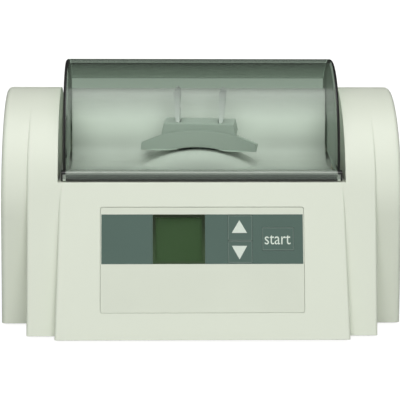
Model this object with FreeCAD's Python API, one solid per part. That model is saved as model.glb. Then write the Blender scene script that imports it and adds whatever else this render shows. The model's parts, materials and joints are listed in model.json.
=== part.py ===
"""Amalgamator: a bench machine that shakes a dental capsule between two spring arms under a clear hood.

Millimetres. X runs to the right as seen by the user, Y away from the user, Z up.
The origin is on the table, under the middle of the machine's plan.
"""
import FreeCAD, Part
import os
from math import cos, sin, tan, radians, degrees, sqrt, atan2

from FreeCAD import Placement, Rotation, Vector

os.makedirs("parts", exist_ok=True)

# Casing
WIDTH = 250.0            # over the cheeks at the base
TABLE_GAP = 2.5          # casing's lower edge over the table
WALL = 3.0               # casing wall
BARREL_R = 67.5          # round back of the cheeks, which sets the depth of what stands round it
BARREL_Z = 72.0          # height of the barrel's axis
CHEEK_DRAFT = 1.5        # cheek side leans in by this much, base to top
CHEEK_ROUND = 3.2        # outer edge of each cheek
BAND_WIDTH = 216.0       # stepped bands inside the cheeks
BAND_FOOT = 27.0         # band's foot beyond the barrel
BAND_LEAN = 17.5         # degrees from upright
BAND_START = 75.0        # degrees up the barrel where the band leaves it
BLOCK_WIDTH = 181.0      # control block at the base
BLOCK_TOP_WIDTH = 175.5
BLOCK_LEAN = 22.3        # degrees from upright
BLOCK_TOP_Z = 92.6       # ledge under the hood's lip
LEDGE_MARGIN = 1.55      # ledge beyond the lip
EDGE_ROUND = 1.6         # small moulded edges
FIT = 0.3                # gap between parts of the casing
RUN = 0.05               # radial clearance of a turning fit

# Screws
SCREW_R = 1.3            # boards, rear panel and feet
SCREW_HEAD_R = 2.7
SCREW_HEAD = 1.8
CASE_SCREW_R = 1.75
CASE_HEAD_R = 3.2
CASE_SOCKET_R = 1.4
CASE_THREAD = 12.0       # screw inside its post
CASE_SCREW_X = 115.0
CASE_SCREW_Y = 50.0
CASE_POST_R = 5.0
CASE_POST_TOP = 40.0
WEB = 3.0                # web that ties a post to the cheek

# Hood
HOOD_SET_IN = 6.5        # hood's radius inside the barrel's
HOOD_Z = 97.0            # height of the hood's axis
HOOD_WIDTH = 172.0
HOOD_WALL = 2.5
HOOD_REAR = 134.0        # degrees round from the front where the shell ends
LIP_WIDTH = 174.0
LIP_HEIGHT = 6.0
LIP_PROUD = 3.5
LIP_ROUND = 1.2
LIP_LIFT = 0.4           # lip over the ledge
HINGE_SET_IN = 27.0      # hinge in from the hood's radius
HINGE_UP = 11.0          # hinge over the hood's axis
HINGE_PIN_R = 2.5
HINGE_BOSS_R = 7.0
HINGE_BOSS = 5.0         # boss behind the cheek's inner wall
EAR_GAP = 1.0            # hood's ear to the cheek

# Hood switch
PLUNGER_R = 1.5
PLUNGER_Y = -30.0
PLUNGER_DEPTH = 7.5      # plunger inside the switch
HOOD_SWITCH_X = 6.0
HOOD_SWITCH_Y = 20.0
HOOD_SWITCH_Z = 16.0

# Mixing chamber
POCKET_HALF = 89.0       # inner face of each cheek
TROUGH_HALF = 82.5       # trough between the hood's end walls
POCKET_REAR_Y = 24.0     # seam between the chamber and the rear ridge
TROUGH_GAP = 1.2         # chamber's front rim inside the hood
TROUGH_LOW_Y = -8.0
TROUGH_LOW_Z = 93.5
TROUGH_FLOOR_R = 260.0
TROUGH_CORNER_R = 14.0
TROUGH_LEAN = 12.0       # rear wall, degrees from upright
RIDGE_R = 9.0
CHAMBER_WALL = 2.9
SEAT_DROP = 2.0          # chamber's seat below the ledge
SEAT_LEDGE = 3.0         # width of that seat at the sides
CHANNEL_FLOOR = 2.0
ARM_CHANNEL_Z = 95.0     # floor of the hood arm channels through the ridge
ARM_CHANNEL_Y = 70.0

# Mixing drive, heights from the shaft line
MIX_Y = -14.0            # shaft line
MIX_Z = 40.0
SKEW = 6.0               # degrees between hub journal and shaft
DOME_R = 65.0
DOME_WALL = 2.5
SLOT_HALF_X = 15.5       # slot through the dome
SLOT_HALF_Y = 7.5
SLOT_ROUND = 6.0
SHAFT_R = 4.0
SHAFT_X0 = -51.0
JOURNAL_R = 6.0
HUB_SLEEVE_R = 5.4
HUB_HALF = 13.0
SHOULDER_STEP = 1.8
SHOULDER = 2.6           # shoulder's length beside the bearing
CLIP_STEP = 1.4
CLIP_THICK = 1.2
BEARING_R = 14.0
BEARING_LENGTH = 8.0
BALL_R = 2.4
BALL_COUNT = 8
RACE_HALF_GAP = 1.4      # half the gap between the races
RING_WALL = 4.5
RING_LENGTH = 10.0
STEM_X = 12.0
STEM_Y = 10.0
STEM_ROOT = 9.0          # height of the flared root
STEM_TOP = 74.0
TAIL_R = 2.5
TAIL_LENGTH = 23.4
SADDLE_GAP = 2.2         # saddle over the dome
SADDLE_TOP = 81.0
SADDLE_HALF = 36.9
SADDLE_TIP = 69.0        # wing's upper corner
SADDLE_LOW = 64.0        # wing's lower corner
SADDLE_SHOULDER = 74.0
SADDLE_CROWN = 77.0
SADDLE_BLOCK_HALF = 23.8
SADDLE_DRAFT = 1.6
SADDLE_HALF_Y = 10.0
WING_HALF_Y = 11.2
WING_DRAFT = 0.6
WING_FALL = 10.0         # degrees that the wings' tops fall to the rear
HOLDER_GAP = 25.2        # capsule length between the arms
HOLDER_TOP = 102.6
HOLDER_FOOT = 75.0
HOLDER_T = 1.2
HOLDER_WIDE = 12.0
HOLDER_PLAY = 0.6
HOLDER_LEAD = 2.0        # height of the bent lead-in
HOLDER_FLARE = 1.6
FLANGE_T = 0.9
FLANGE_LOW = 2.4
FLANGE_HIGH = 4.1
SEAT_R = 4.0             # dished seat for the capsule's end
SEAT_BELOW = 9.6         # seat's middle below the arm's top
WEIGHT_R = 15.0
WEIGHT_LENGTH = 6.0
WEIGHT_HUB = 3.0
WEIGHT_OFFSET = 2.0      # flat of the half disc from the shaft line
FAN_X0 = -50.0
FAN_R = 21.0
FAN_DISC = 1.5
FAN_HUB_R = 8.0
FAN_HUB = 9.0
FAN_BLADES = 9
BLADE_T = 1.4
BLADE_LENGTH = 8.0

# Motor
MOTOR_R = 25.0
MOTOR_X0 = 32.0
MOTOR_LENGTH = 52.0
BELL = 4.0
BELL_BOSS_R = 8.5
BELL_BOSS = 2.0
CAN_WALL = 1.5
MAGNET = 3.5
MAGNET_SPLIT = 14.0
MAGNET_START = 5.0
AIR_GAP = 0.8
ARMATURE_SLOTS = 8
ARMATURE_SLOT = 2.4
ARMATURE_SLOT_DEPTH = 5.0
WINDING_DROP = 6.0       # winding below the armature's surface
WINDING_PROUD = 3.0
COMMUTATOR_R = 8.0
COMMUTATOR_LENGTH = 5.5
COMMUTATOR_BARS = 8
COMMUTATOR_SLIT = 0.5
BRUSH_X = 4.0
BRUSH_Z = 5.0
BRUSH_GAP = 0.1
MOTOR_SCREW_R = 1.5
MOTOR_SCREW_Y = 17.0

# Sub-frame and base
BASE_THICK = 3.0
FRAME_Z = 12.0
FRAME_THICK = 2.5
FRAME_X0 = -40.0
FRAME_X1 = 88.0
FRAME_HALF_Y = 26.0
UPRIGHT = 3.0
UPRIGHT_LEFT_X = -36.0
UPRIGHT_LEFT_HALF = 14.0
UPRIGHT_RIGHT_HALF = 24.0
UPRIGHT_OVER = 12.0      # upright over the shaft line
BUSH_R = 7.0
BUSH_COLLAR = 1.5
FORK_HALF_X = 9.0
FORK_HALF_Y = 8.0
FORK_FLOOR = 1.5
FORK_HEIGHT = 6.0
ISOLATOR_R = 6.0
ISOLATOR_INSET = 7.0
ISOLATOR_STUD_R = 2.0
ISOLATOR_CAP = 1.5
WAIST_R = 1.8            # groove round the isolator
FOOT_R = 9.0
FOOT_X = 98.0
FOOT_Y = 46.0
FOOT_ROUND = 0.6
FOOT_SINK = 1.2
BASE_VENTS = 7
BASE_VENT_X0 = -30.0
BASE_VENT_PITCH = 12.0
BASE_VENT_WIDTH = 3.0
BASE_VENT_Y = (40.0, 62.0)

# Keypad, measured up the slope from the block's lower edge
PLATE_WIDTH = 125.0
PLATE_HEIGHT = 65.2
PLATE_LOW = 16.8
PLATE_THICK = 1.0
PLATE_INSET = 0.2        # plate face below the casing's face
PLATE_ROUND = 1.2
PLATE_PLAY = 0.2
STRIP_MARGIN = 0.5       # plate beyond the strip's ends
STRIP_LOW = 46.8
STRIP_HEIGHT = 30.8
STRIP_THICK = 0.4
WINDOW_X0 = -30.5
WINDOW_WIDTH = 32.2
WINDOW_RIM = 1.5
WINDOW_PLAY = 0.1
KEY_GAP = 0.15
KEY_MARGIN = 0.8         # up and down keys inside the strip's edges
KEY_X = 23.3             # middle of the up and down keys
KEY_WIDTH = 14.8
KEY_SPLIT = 61.1         # between the up and down keys
START_X = 46.6
START_WIDTH = 19.2
START_LOW = 55.3
START_HEIGHT = 14.0
KEY_TRAVEL = 0.5
KEY_ROUND = 0.7
KEY_PROUD = 0.05
KEY_FLANGE = 0.8
KEY_FLANGE_T = 0.8
KEY_WELL = 0.7           # well around a key's flange
STEM_R = 2.2
SWITCH_HALF = 3.0
SWITCH_BODY = 1.6
SWITCH_BUTTON = 0.5
SWITCH_BUTTON_R = 1.7
BOARD_THICK = 1.6
BOARD_DEPTH = 7.5        # board's front face behind the casing's face
BOARD_HALF = 68.0
BOARD_LOW = 20.0
BOARD_HIGH = 87.0
BOARD_ROUND = 1.5
POST_R = 3.2
POST_X = 56.0
POST_LOW = 24.5
POST_HIGH = 83.0
BUZZER_R = 6.0
BUZZER_HEIGHT = 6.0
BUZZER_HOLE_R = 1.0
BUZZER_X = -20.0
BUZZER_UP = 35.0

# Power board
POWER_BOARD_Z = 12.0
POWER_X1 = -44.0
POWER_Y0 = -52.0
POWER_Y1 = 46.0
POWER_POST_R = 3.0
POWER_POST_INSET = 5.0
CORE_X = 38.0            # transformer's iron core
CORE_Y = 14.0
CORE_Z = 32.0
CORE_X0 = -104.0
COIL_INSET = 7.0
COIL_OVER = 9.0          # coil beyond the core, front and back
COIL_Z = 26.0
COIL_ROUND = 3.0
COIL_FOOT = 1.5
CAPACITORS = ((-94.0, -30.0, 8.0, 25.0), (-74.0, -34.0, 6.0, 20.0), (-74.0, -20.0, 5.0, 14.0))
SINK_Z = 26.0
SINK_T = 2.0
SINK_Y0 = -40.0
FINS = 6
FIN_T = 1.0
FIN_PITCH = 4.0

# Rear panel
REAR_SET_BACK = 21.0     # rear panel in from the block's rear foot
REAR_HALF = 70.0
REAR_LOW = 10.0
REAR_HIGH = 62.0
REAR_LEDGE = 6.0         # ledge that carries the panel
REAR_SCREW_INSET = 4.5
PANEL_THICK = 1.5
PANEL_PLAY = 0.5
VENTS = 9
VENT_X0 = -56.0
VENT_PITCH = 6.0
VENT_WIDTH = 2.8
VENT_Z = (22.0, 50.0)
INLET_X = 42.0
INLET_Z = 32.0
INLET_HALF_X = 13.7
INLET_HALF_Z = 10.0
INLET_DEPTH = 24.0
INLET_FLANGE = 2.0
INLET_FLANGE_RIM = 3.3
SOCKET_HALF_X = 12.0
SOCKET_HALF_Z = 8.0
SOCKET_CORNER = 4.0
SOCKET_DEPTH = 17.0
PIN_X = 2.0
PIN_Z = 4.0
PIN_SPREAD = 7.0
PIN_DROP = 3.5           # live and neutral below the socket's middle
PIN_EARTH = 2.0          # earth above it
PIN_TAIL = 6.0
PIN_SUNK = 1.5
FUSE_UP = 17.0           # drawer's middle over the socket's
FUSE_HALF_X = 11.0
FUSE_HALF_Z = 4.6
FUSE_WALL = 1.2
FUSE_PLAY = 0.2
FUSE_R = 2.6
FUSE_LENGTH = 20.0
FUSE_PITCH = 10.4
DRAWER_BACK = 3.0        # drawer's rear end from the inlet's
DRAWER_PROUD = 3.0
GRIP_HALF = 4.0
GRIP_DEPTH = 0.8
ROCKER_X = 8.0
ROCKER_Z = 36.0
ROCKER_TILT = 10.0       # degrees, off position
ROCKER_HALF_X = 5.2
ROCKER_HALF_Z = 8.2
ROCKER_PROUD = 2.6
ROCKER_DIP = 1.0
ROCKER_BACK = 4.0
ROCKER_PIVOT_R = 1.6
ROCKER_PIVOT = 2.5       # pivot behind the panel's outer face
SWITCH_FLANGE = 1.8
SWITCH_RIM_X = 1.9
SWITCH_RIM_Z = 2.5
SWITCH_WALL_X = 1.2
SWITCH_WALL_Z = 0.8
SWITCH_DEPTH = 18.0
SWITCH_MOUTH = 8.0
ROCKER_SIDE_GAP = 0.2
ROCKER_END_GAP = 1.0

# Leads
MAINS_LEAD_R = 1.6
MOTOR_LEAD_R = 1.1
LEAD_DROP = 12.0         # last upright run onto the board
RIBBON_WIDTH = 12.0
RIBBON_THICK = 0.9
RIBBON_X0 = -66.0
RIBBON_UP = 50.0         # where it leaves the control board
RIBBON_BACK = 6.0
RIBBON_LOOP = 4.0

# Worked out from the sizes above
X = Vector(1, 0, 0)
Y = Vector(0, 1, 0)
Z = Vector(0, 0, 1)
FAR = 400.0
SIDES = (-1, 1)
MIX_CENTRE = Vector(0, MIX_Y, MIX_Z)
BASE_TOP = TABLE_GAP + BASE_THICK
SEAT_Z = BLOCK_TOP_Z - SEAT_DROP
BAND_BASE_Y = BARREL_R + BAND_FOOT
HOOD_R = BARREL_R - HOOD_SET_IN
HINGE_Y = HOOD_R - HINGE_SET_IN
HINGE_Z = HOOD_Z + HINGE_UP
BLOCK_RUN = (BLOCK_TOP_Z - TABLE_GAP) * tan(radians(BLOCK_LEAN))
DEPTH = 2 * (HOOD_R + LIP_PROUD + LEDGE_MARGIN + BLOCK_RUN)
TROUGH_FRONT_Y = TROUGH_GAP + HOOD_WALL - HOOD_R
STRIP_WIDTH = PLATE_WIDTH - 2 * STRIP_MARGIN
REAR_Y = DEPTH / 2 - REAR_SET_BACK
PLUNGER_X = HOOD_WIDTH / 2 - HOOD_WALL / 2
CAN_X0 = MOTOR_X0 + BELL
CAN_X1 = MOTOR_X0 + MOTOR_LENGTH - BELL
MAGNET_R = MOTOR_R - CAN_WALL
ROTOR_R = MAGNET_R - MAGNET - AIR_GAP
COMMUTATOR_X0 = CAN_X1 - 1 - COMMUTATOR_LENGTH
FRAME_TOP = FRAME_Z + FRAME_THICK
PLATE_BACK = PLATE_INSET + PLATE_THICK
FLANGE_FRONT = PLATE_BACK + 0.1
FLANGE_BACK = FLANGE_FRONT + KEY_FLANGE_T
LCD_FRONT = WALL + 0.1
POWER_X0 = CASE_POST_R + 1 - CASE_SCREW_X
POWER_TOP = POWER_BOARD_Z + BOARD_THICK
PANEL_OUT = REAR_Y + PANEL_THICK
INLET_BACK = PANEL_OUT - INLET_DEPTH
FUSE_Z = INLET_Z + FUSE_UP
INLET_TOP = FUSE_Z + FUSE_HALF_Z + FUSE_WALL
SWITCH_HALF_X = ROCKER_HALF_X + ROCKER_SIDE_GAP + SWITCH_WALL_X
SWITCH_HALF_Z = ROCKER_HALF_Z + ROCKER_END_GAP + SWITCH_WALL_Z

BOARD_POSTS = [(side * POST_X, up) for up in (POST_LOW, POST_HIGH) for side in SIDES]
CASE_SCREWS = [(sx * CASE_SCREW_X, sy * CASE_SCREW_Y) for sx in SIDES for sy in SIDES]
FEET = [(sx * FOOT_X, sy * FOOT_Y) for sx in SIDES for sy in SIDES]
REAR_SCREWS = [(side * (REAR_HALF - REAR_SCREW_INSET), z) for side in SIDES
               for z in (REAR_LOW + REAR_SCREW_INSET, REAR_HIGH - REAR_SCREW_INSET)]
MOTOR_SCREWS = [(MIX_Y + side * MOTOR_SCREW_Y, MIX_Z) for side in SIDES]
ISOLATORS = [(x, MIX_Y + side * (FRAME_HALF_Y - ISOLATOR_INSET))
             for x in (FRAME_X0 + ISOLATOR_INSET, FRAME_X1 - ISOLATOR_INSET) for side in SIDES]
POWER_POSTS = [(x, y) for x in (POWER_X0 + POWER_POST_INSET, POWER_X1 - POWER_POST_INSET)
               for y in (POWER_Y0 + POWER_POST_INSET, POWER_Y1 - POWER_POST_INSET)]
KEYS = {
    "key_up": (KEY_X - KEY_WIDTH / 2, KEY_X + KEY_WIDTH / 2, KEY_SPLIT + KEY_GAP,
               STRIP_LOW + STRIP_HEIGHT - KEY_MARGIN),
    "key_down": (KEY_X - KEY_WIDTH / 2, KEY_X + KEY_WIDTH / 2, STRIP_LOW + KEY_MARGIN, KEY_SPLIT - KEY_GAP),
    "key_start": (START_X - START_WIDTH / 2, START_X + START_WIDTH / 2, START_LOW, START_LOW + START_HEIGHT),
}


def save(name, shape):
    """Write one named piece."""
    shape.exportStep("parts/" + name + ".step")


def box(x0, x1, y0, y1, z0, z1):
    return Part.makeBox(x1 - x0, y1 - y0, z1 - z0, Vector(x0, y0, z0))


def rod(radius, start, end):
    """Round bar between two points."""
    axis = end - start
    return Part.makeCylinder(radius, axis.Length, start, axis)


def rod_x(radius, x0, x1, y=MIX_Y, z=MIX_Z):
    return rod(radius, Vector(x0, y, z), Vector(x1, y, z))


def rod_z(radius, x, y, z0, z1):
    return rod(radius, Vector(x, y, z0), Vector(x, y, z1))


def face_from(points, at):
    """Flat face whose outline is a list of (a, b) for a line, or (mid a, mid b, a, b) for an arc."""
    edges = []
    here = at(*points[0])
    for step in points[1:]:
        end = at(*step[-2:])
        if len(step) == 2:
            edges.append(Part.LineSegment(here, end).toShape())
        else:
            edges.append(Part.Arc(here, at(*step[:2]), end).toShape())
        here = end
    first = at(*points[0])
    if (here - first).Length > 1e-6:
        edges.append(Part.LineSegment(here, first).toShape())
    return Part.Face(Part.Wire(edges))


def side_prism(points, x0, x1):
    """Outline in (y, z), drawn out from x0 to x1."""
    face = face_from(points, lambda y, z: Vector(x0, y, z))
    return face.extrude(X * (x1 - x0))


def front_prism(points, y0, y1):
    """Outline in (x, z), drawn out from y0 to y1."""
    face = face_from(points, lambda x, z: Vector(x, y0, z))
    return face.extrude(Y * (y1 - y0))


def on_circle(centre_y, centre_z, radius, angle):
    """Point of a circle in (y, z); 0 degrees faces the user and 90 is the top."""
    turn = radians(angle)
    return (centre_y - radius * cos(turn), centre_z + radius * sin(turn))


def arc_step(centre_y, centre_z, radius, start, end):
    """Arc step for face_from, on such a circle."""
    middle = on_circle(centre_y, centre_z, radius, (start + end) / 2)
    return middle + on_circle(centre_y, centre_z, radius, end)


def union(shapes):
    shapes = list(shapes)
    if len(shapes) == 1:
        return shapes[0]
    return shapes[0].multiFuse(shapes[1:]).removeSplitter()


def mirror_x(shape):
    return shape.mirror(Vector(0, 0, 0), X)


# Casing outline
def cheek_outline(inset, low):
    radius = BARREL_R - inset
    return [(-radius, low), (-radius, BARREL_Z), arc_step(0, BARREL_Z, radius, 0, 90),
            arc_step(0, BARREL_Z, radius, 90, 180), (radius, low)]


def band_arc():
    """Radius and centre of the band's arc, tangent to the barrel and to the sloped foot."""
    start = radians(BAND_START)
    end = radians(BAND_LEAN)
    top_y = BARREL_R * cos(start)
    top_z = BARREL_Z + BARREL_R * sin(start)
    reach = BAND_BASE_Y - top_y - tan(end) * (top_z - TABLE_GAP)
    radius = reach / (cos(end) - cos(start) - tan(end) * (sin(start) - sin(end)))
    return radius, top_y - radius * cos(start), top_z - radius * sin(start)


def band_outline(inset, low):
    """Band section, the same front and back; each side leaves the barrel on its own arc."""
    radius, shift, height = band_arc()
    knee_y, knee_z = on_circle(-shift, height, radius - inset, BAND_LEAN)
    foot_y = knee_y - (knee_z - low) * tan(radians(BAND_LEAN))
    front = on_circle(-shift, height, radius - inset, (BAND_LEAN + BAND_START) / 2)
    front_end = on_circle(0, BARREL_Z, BARREL_R - inset, BAND_START)
    return [(foot_y, low), (knee_y, knee_z), front + front_end,
            arc_step(0, BARREL_Z, BARREL_R - inset, BAND_START, 180 - BAND_START),
            (-front[0], front[1], -knee_y, knee_z), (-foot_y, low)]


def block_outline(inset, low):
    """Control block section, the same front and back."""
    slope = tan(radians(BLOCK_LEAN))
    push = inset / cos(radians(BLOCK_LEAN))
    top = BLOCK_TOP_Z - inset
    foot_y = -DEPTH / 2 + push + (low - TABLE_GAP) * slope
    top_y = -DEPTH / 2 + push + (top - TABLE_GAP) * slope
    return [(foot_y, low), (top_y, top), (-top_y, top), (-foot_y, low)]


def tapered(half_low, half_high, low, high, depth):
    """Front view with leaning sides, drawn out front to back."""
    outline = [(-half_low, low), (-half_high, high), (half_high, high), (half_low, low)]
    return front_prism(outline, -depth, depth)


def casing_lumps(inset, low):
    """Cheek, band and block solids, each kept inside the casing's outer face by inset."""
    high = BARREL_Z + BARREL_R
    half = WIDTH / 2 - inset
    lean = CHEEK_DRAFT / (high - TABLE_GAP)
    spare = (TABLE_GAP - low) * lean
    cheeks = side_prism(cheek_outline(inset, low), -WIDTH / 2 - 1, WIDTH / 2 + 1)
    cheeks = cheeks.common(tapered(half + spare, half - CHEEK_DRAFT, low, high, DEPTH))
    bands = side_prism(band_outline(inset, low), -BAND_WIDTH / 2 + inset, BAND_WIDTH / 2 - inset)
    taper = (BLOCK_WIDTH - BLOCK_TOP_WIDTH) / 2 / (BLOCK_TOP_Z - TABLE_GAP)
    spare = (TABLE_GAP - low) * taper
    block = side_prism(block_outline(inset, low), -BLOCK_WIDTH, BLOCK_WIDTH)
    block = block.common(tapered(BLOCK_WIDTH / 2 - inset + spare, BLOCK_TOP_WIDTH / 2 - inset,
                                 low, BLOCK_TOP_Z, DEPTH))
    return cheeks, bands, block


def edges_at_x(shape, half, tolerance=2.0, low=TABLE_GAP + 0.5):
    """Edges that lie along the shape's two end faces, without the lower edge."""
    chosen = []
    for edge in shape.Edges:
        bounds = edge.BoundBox
        at_side = min(abs(bounds.XMin), abs(bounds.XMax)) > half - tolerance and bounds.XLength < tolerance
        if at_side and bounds.ZMax > low and not (bounds.ZLength < 0.01 and bounds.ZMin < low):
            chosen.append(edge)
    return chosen


def casing_outside():
    """Outer form of the casing with its moulded edge rounds."""
    cheeks, bands, block = casing_lumps(0, TABLE_GAP)
    cheeks = cheeks.makeFillet(CHEEK_ROUND, edges_at_x(cheeks, WIDTH / 2))
    bands = bands.makeFillet(EDGE_ROUND, edges_at_x(bands, BAND_WIDTH / 2))
    half = min(BLOCK_WIDTH, BLOCK_TOP_WIDTH) / 2
    spread = abs(BLOCK_WIDTH - BLOCK_TOP_WIDTH) / 2 + 1.25
    sides = [edge for edge in edges_at_x(block, half, spread) if edge.BoundBox.YLength > 5]
    sides = [edge for edge in sides if edge.BoundBox.ZLength > 20]
    block = block.makeFillet(EDGE_ROUND, sides)
    return union([cheeks, bands, block])


def slope_place():
    """Frame of the control face: x across, y up the slope from its lower edge, z out of the face."""
    return Placement(Vector(0, -DEPTH / 2, TABLE_GAP), Rotation(X, 90 - BLOCK_LEAN))


def on_slope(shape):
    placed = shape.copy()
    placed.Placement = slope_place().multiply(placed.Placement)
    return placed


def slab(x0, x1, low, high, depth0, depth1, corner=0.0):
    """Box on the control face, with rounded corners; depths are below the face."""
    shape = box(x0, x1, low, high, -depth1, -depth0)
    if corner:
        upright = [edge for edge in shape.Edges if edge.BoundBox.ZLength > (depth1 - depth0) * 0.9
                   and edge.BoundBox.XLength < 0.01 and edge.BoundBox.YLength < 0.01]
        shape = shape.makeFillet(corner, upright)
    return on_slope(shape)


def front_cuts():
    """Recess for the plate, wells behind the keys and the opening behind the window."""
    half = PLATE_WIDTH / 2 + PLATE_PLAY
    cuts = [slab(-half, half, PLATE_LOW - PLATE_PLAY, PLATE_LOW + PLATE_HEIGHT + PLATE_PLAY, -1, PLATE_BACK,
                 PLATE_ROUND + PLATE_PLAY)]
    cuts.append(slab(WINDOW_X0 + WINDOW_RIM, WINDOW_X0 + WINDOW_WIDTH - WINDOW_RIM, STRIP_LOW + WINDOW_RIM,
                     STRIP_LOW + STRIP_HEIGHT - WINDOW_RIM, 0, WALL + 1))
    grow = KEY_FLANGE + KEY_WELL
    for x0, x1, low, high in KEYS.values():
        cuts.append(slab(x0 - grow, x1 + grow, low - grow, high + grow, 0, WALL + 1, 1.0))
    return cuts


def pocket(grow):
    """Space above the ledge that the chamber and the hood fill, grown by a wall."""
    half = POCKET_HALF + grow
    rear = POCKET_REAR_Y + grow
    space = [box(-half, half, -FAR, rear, BLOCK_TOP_Z - grow, FAR),
             box(-half, half, TROUGH_FRONT_Y - FIT - grow, rear, SEAT_Z - grow, FAR)]
    for side in SIDES:
        x0, x1 = sorted((side * (TROUGH_HALF - grow), side * half))
        space.append(box(x0, x1, 0, ARM_CHANNEL_Y + grow, ARM_CHANNEL_Z - grow, FAR))
    return union(space)


def rear_recess(grow):
    return box(-REAR_HALF - grow, REAR_HALF + grow, REAR_Y - grow, FAR, REAR_LOW - grow, REAR_HIGH + grow)


def upper_housing():
    """Moulded shell: cheeks, bands and control block, with its posts, bosses and screw holes."""
    outside = casing_outside()
    inside = union(casing_lumps(WALL, TABLE_GAP - 5))
    inside = inside.cut(pocket(WALL)).cut(rear_recess(WALL))
    shell = outside.cut(inside).cut(pocket(0)).cut(rear_recess(0))
    shell = shell.cut(box(-TROUGH_HALF + SEAT_LEDGE, TROUGH_HALF - SEAT_LEDGE, TROUGH_FRONT_Y + SEAT_LEDGE,
                          POCKET_REAR_Y - 2 * SEAT_LEDGE, SEAT_Z - WALL - 1, FAR))
    shell = shell.cut(box(-REAR_HALF + REAR_LEDGE, REAR_HALF - REAR_LEDGE, REAR_Y - WALL - 1, REAR_Y + 1,
                          REAR_LOW + REAR_LEDGE, REAR_HIGH - REAR_LEDGE))
    added = []
    for x, y in CASE_SCREWS:
        side = x / abs(x)
        x0, x1 = sorted((x, side * (WIDTH / 2 - WALL)))
        added.append(rod_z(CASE_POST_R, x, y, BASE_TOP, CASE_POST_TOP))
        added.append(box(x0, x1, y - WEB / 2, y + WEB / 2, BASE_TOP, CASE_POST_TOP))
    for side in SIDES:
        start = Vector(side * (POCKET_HALF + WALL), HINGE_Y, HINGE_Z)
        added.append(rod(HINGE_BOSS_R, start, start + X * (side * HINGE_BOSS)))
    for x, up in BOARD_POSTS:
        added.append(on_slope(rod(POST_R, Vector(x, up, -BOARD_DEPTH), Vector(x, up, -WALL + 0.5))))
    shell = union([shell] + added)
    holes = [rod_z(CASE_SCREW_R, x, y, BASE_TOP - 1, BASE_TOP + CASE_THREAD + 2) for x, y in CASE_SCREWS]
    holes += [on_slope(rod(SCREW_R, Vector(x, up, -BOARD_DEPTH - 1), Vector(x, up, -WALL)))
              for x, up in BOARD_POSTS]
    holes += [rod(SCREW_R, Vector(x, REAR_Y + 1, z), Vector(x, REAR_Y - WALL - 1, z)) for x, z in REAR_SCREWS]
    for side in SIDES:
        x0, x1 = sorted((side * (POCKET_HALF - 1), side * (POCKET_HALF + WALL + HINGE_BOSS - 1)))
        holes.append(rod_x(HINGE_PIN_R, x0, x1, HINGE_Y, HINGE_Z))
    holes.append(rod_z(PLUNGER_R + FIT, PLUNGER_X, PLUNGER_Y, SEAT_Z - WALL - 1, SEAT_Z + 1))
    holes += front_cuts()
    for hole in holes:
        shell = shell.cut(hole)
    return shell


# Chamber
def trough_curve(inset, low):
    """Trough section: rim, hollow floor, corner, rear wall and ridge; inset moves it into the wall."""
    lean = radians(TROUGH_LEAN)
    floor_r = TROUGH_FLOOR_R + inset
    floor_z = TROUGH_LOW_Z + TROUGH_FLOOR_R
    corner_r = TROUGH_CORNER_R + inset
    corner_z = TROUGH_LOW_Z + TROUGH_CORNER_R
    front = TROUGH_FRONT_Y + inset
    rim_drop = sqrt(floor_r ** 2 - (TROUGH_LOW_Y - front) ** 2)
    mid = (front + TROUGH_LOW_Y) / 2
    floor_mid = (mid, floor_z - sqrt(floor_r ** 2 - (TROUGH_LOW_Y - mid) ** 2))
    corner_end = (TROUGH_LOW_Y + corner_r * cos(lean), corner_z - corner_r * sin(lean))
    half_turn = radians((90 - TROUGH_LEAN) / 2 + TROUGH_LEAN)
    corner_mid = (TROUGH_LOW_Y + corner_r * cos(half_turn), corner_z - corner_r * sin(half_turn))
    ridge_r = RIDGE_R - inset
    start_y = TROUGH_LOW_Y + TROUGH_CORNER_R * cos(lean) + RIDGE_R * cos(lean)
    start_z = corner_z - TROUGH_CORNER_R * sin(lean) - RIDGE_R * sin(lean) - BARREL_Z
    reach = BARREL_R - RIDGE_R
    along = start_y * sin(lean) + start_z * cos(lean)
    run = -along + sqrt(along ** 2 - start_y ** 2 - start_z ** 2 + reach ** 2)
    ridge_y = start_y + run * sin(lean)
    ridge_z = BARREL_Z + start_z + run * cos(lean)
    wall_end = on_circle(ridge_y, ridge_z, ridge_r, TROUGH_LEAN)
    meet = degrees(atan2(ridge_z - BARREL_Z, -ridge_y))
    rear = POCKET_REAR_Y - FIT - inset
    barrel_r = BARREL_R - inset
    seam = degrees(atan2(sqrt(barrel_r ** 2 - rear ** 2), -rear))
    return [(front, low), (front, floor_z - rim_drop), floor_mid + (TROUGH_LOW_Y, floor_z - floor_r),
            corner_mid + corner_end, wall_end,
            arc_step(ridge_y, ridge_z, ridge_r, TROUGH_LEAN, meet),
            arc_step(0, BARREL_Z, barrel_r, meet, seam), (rear, low)]


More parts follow.
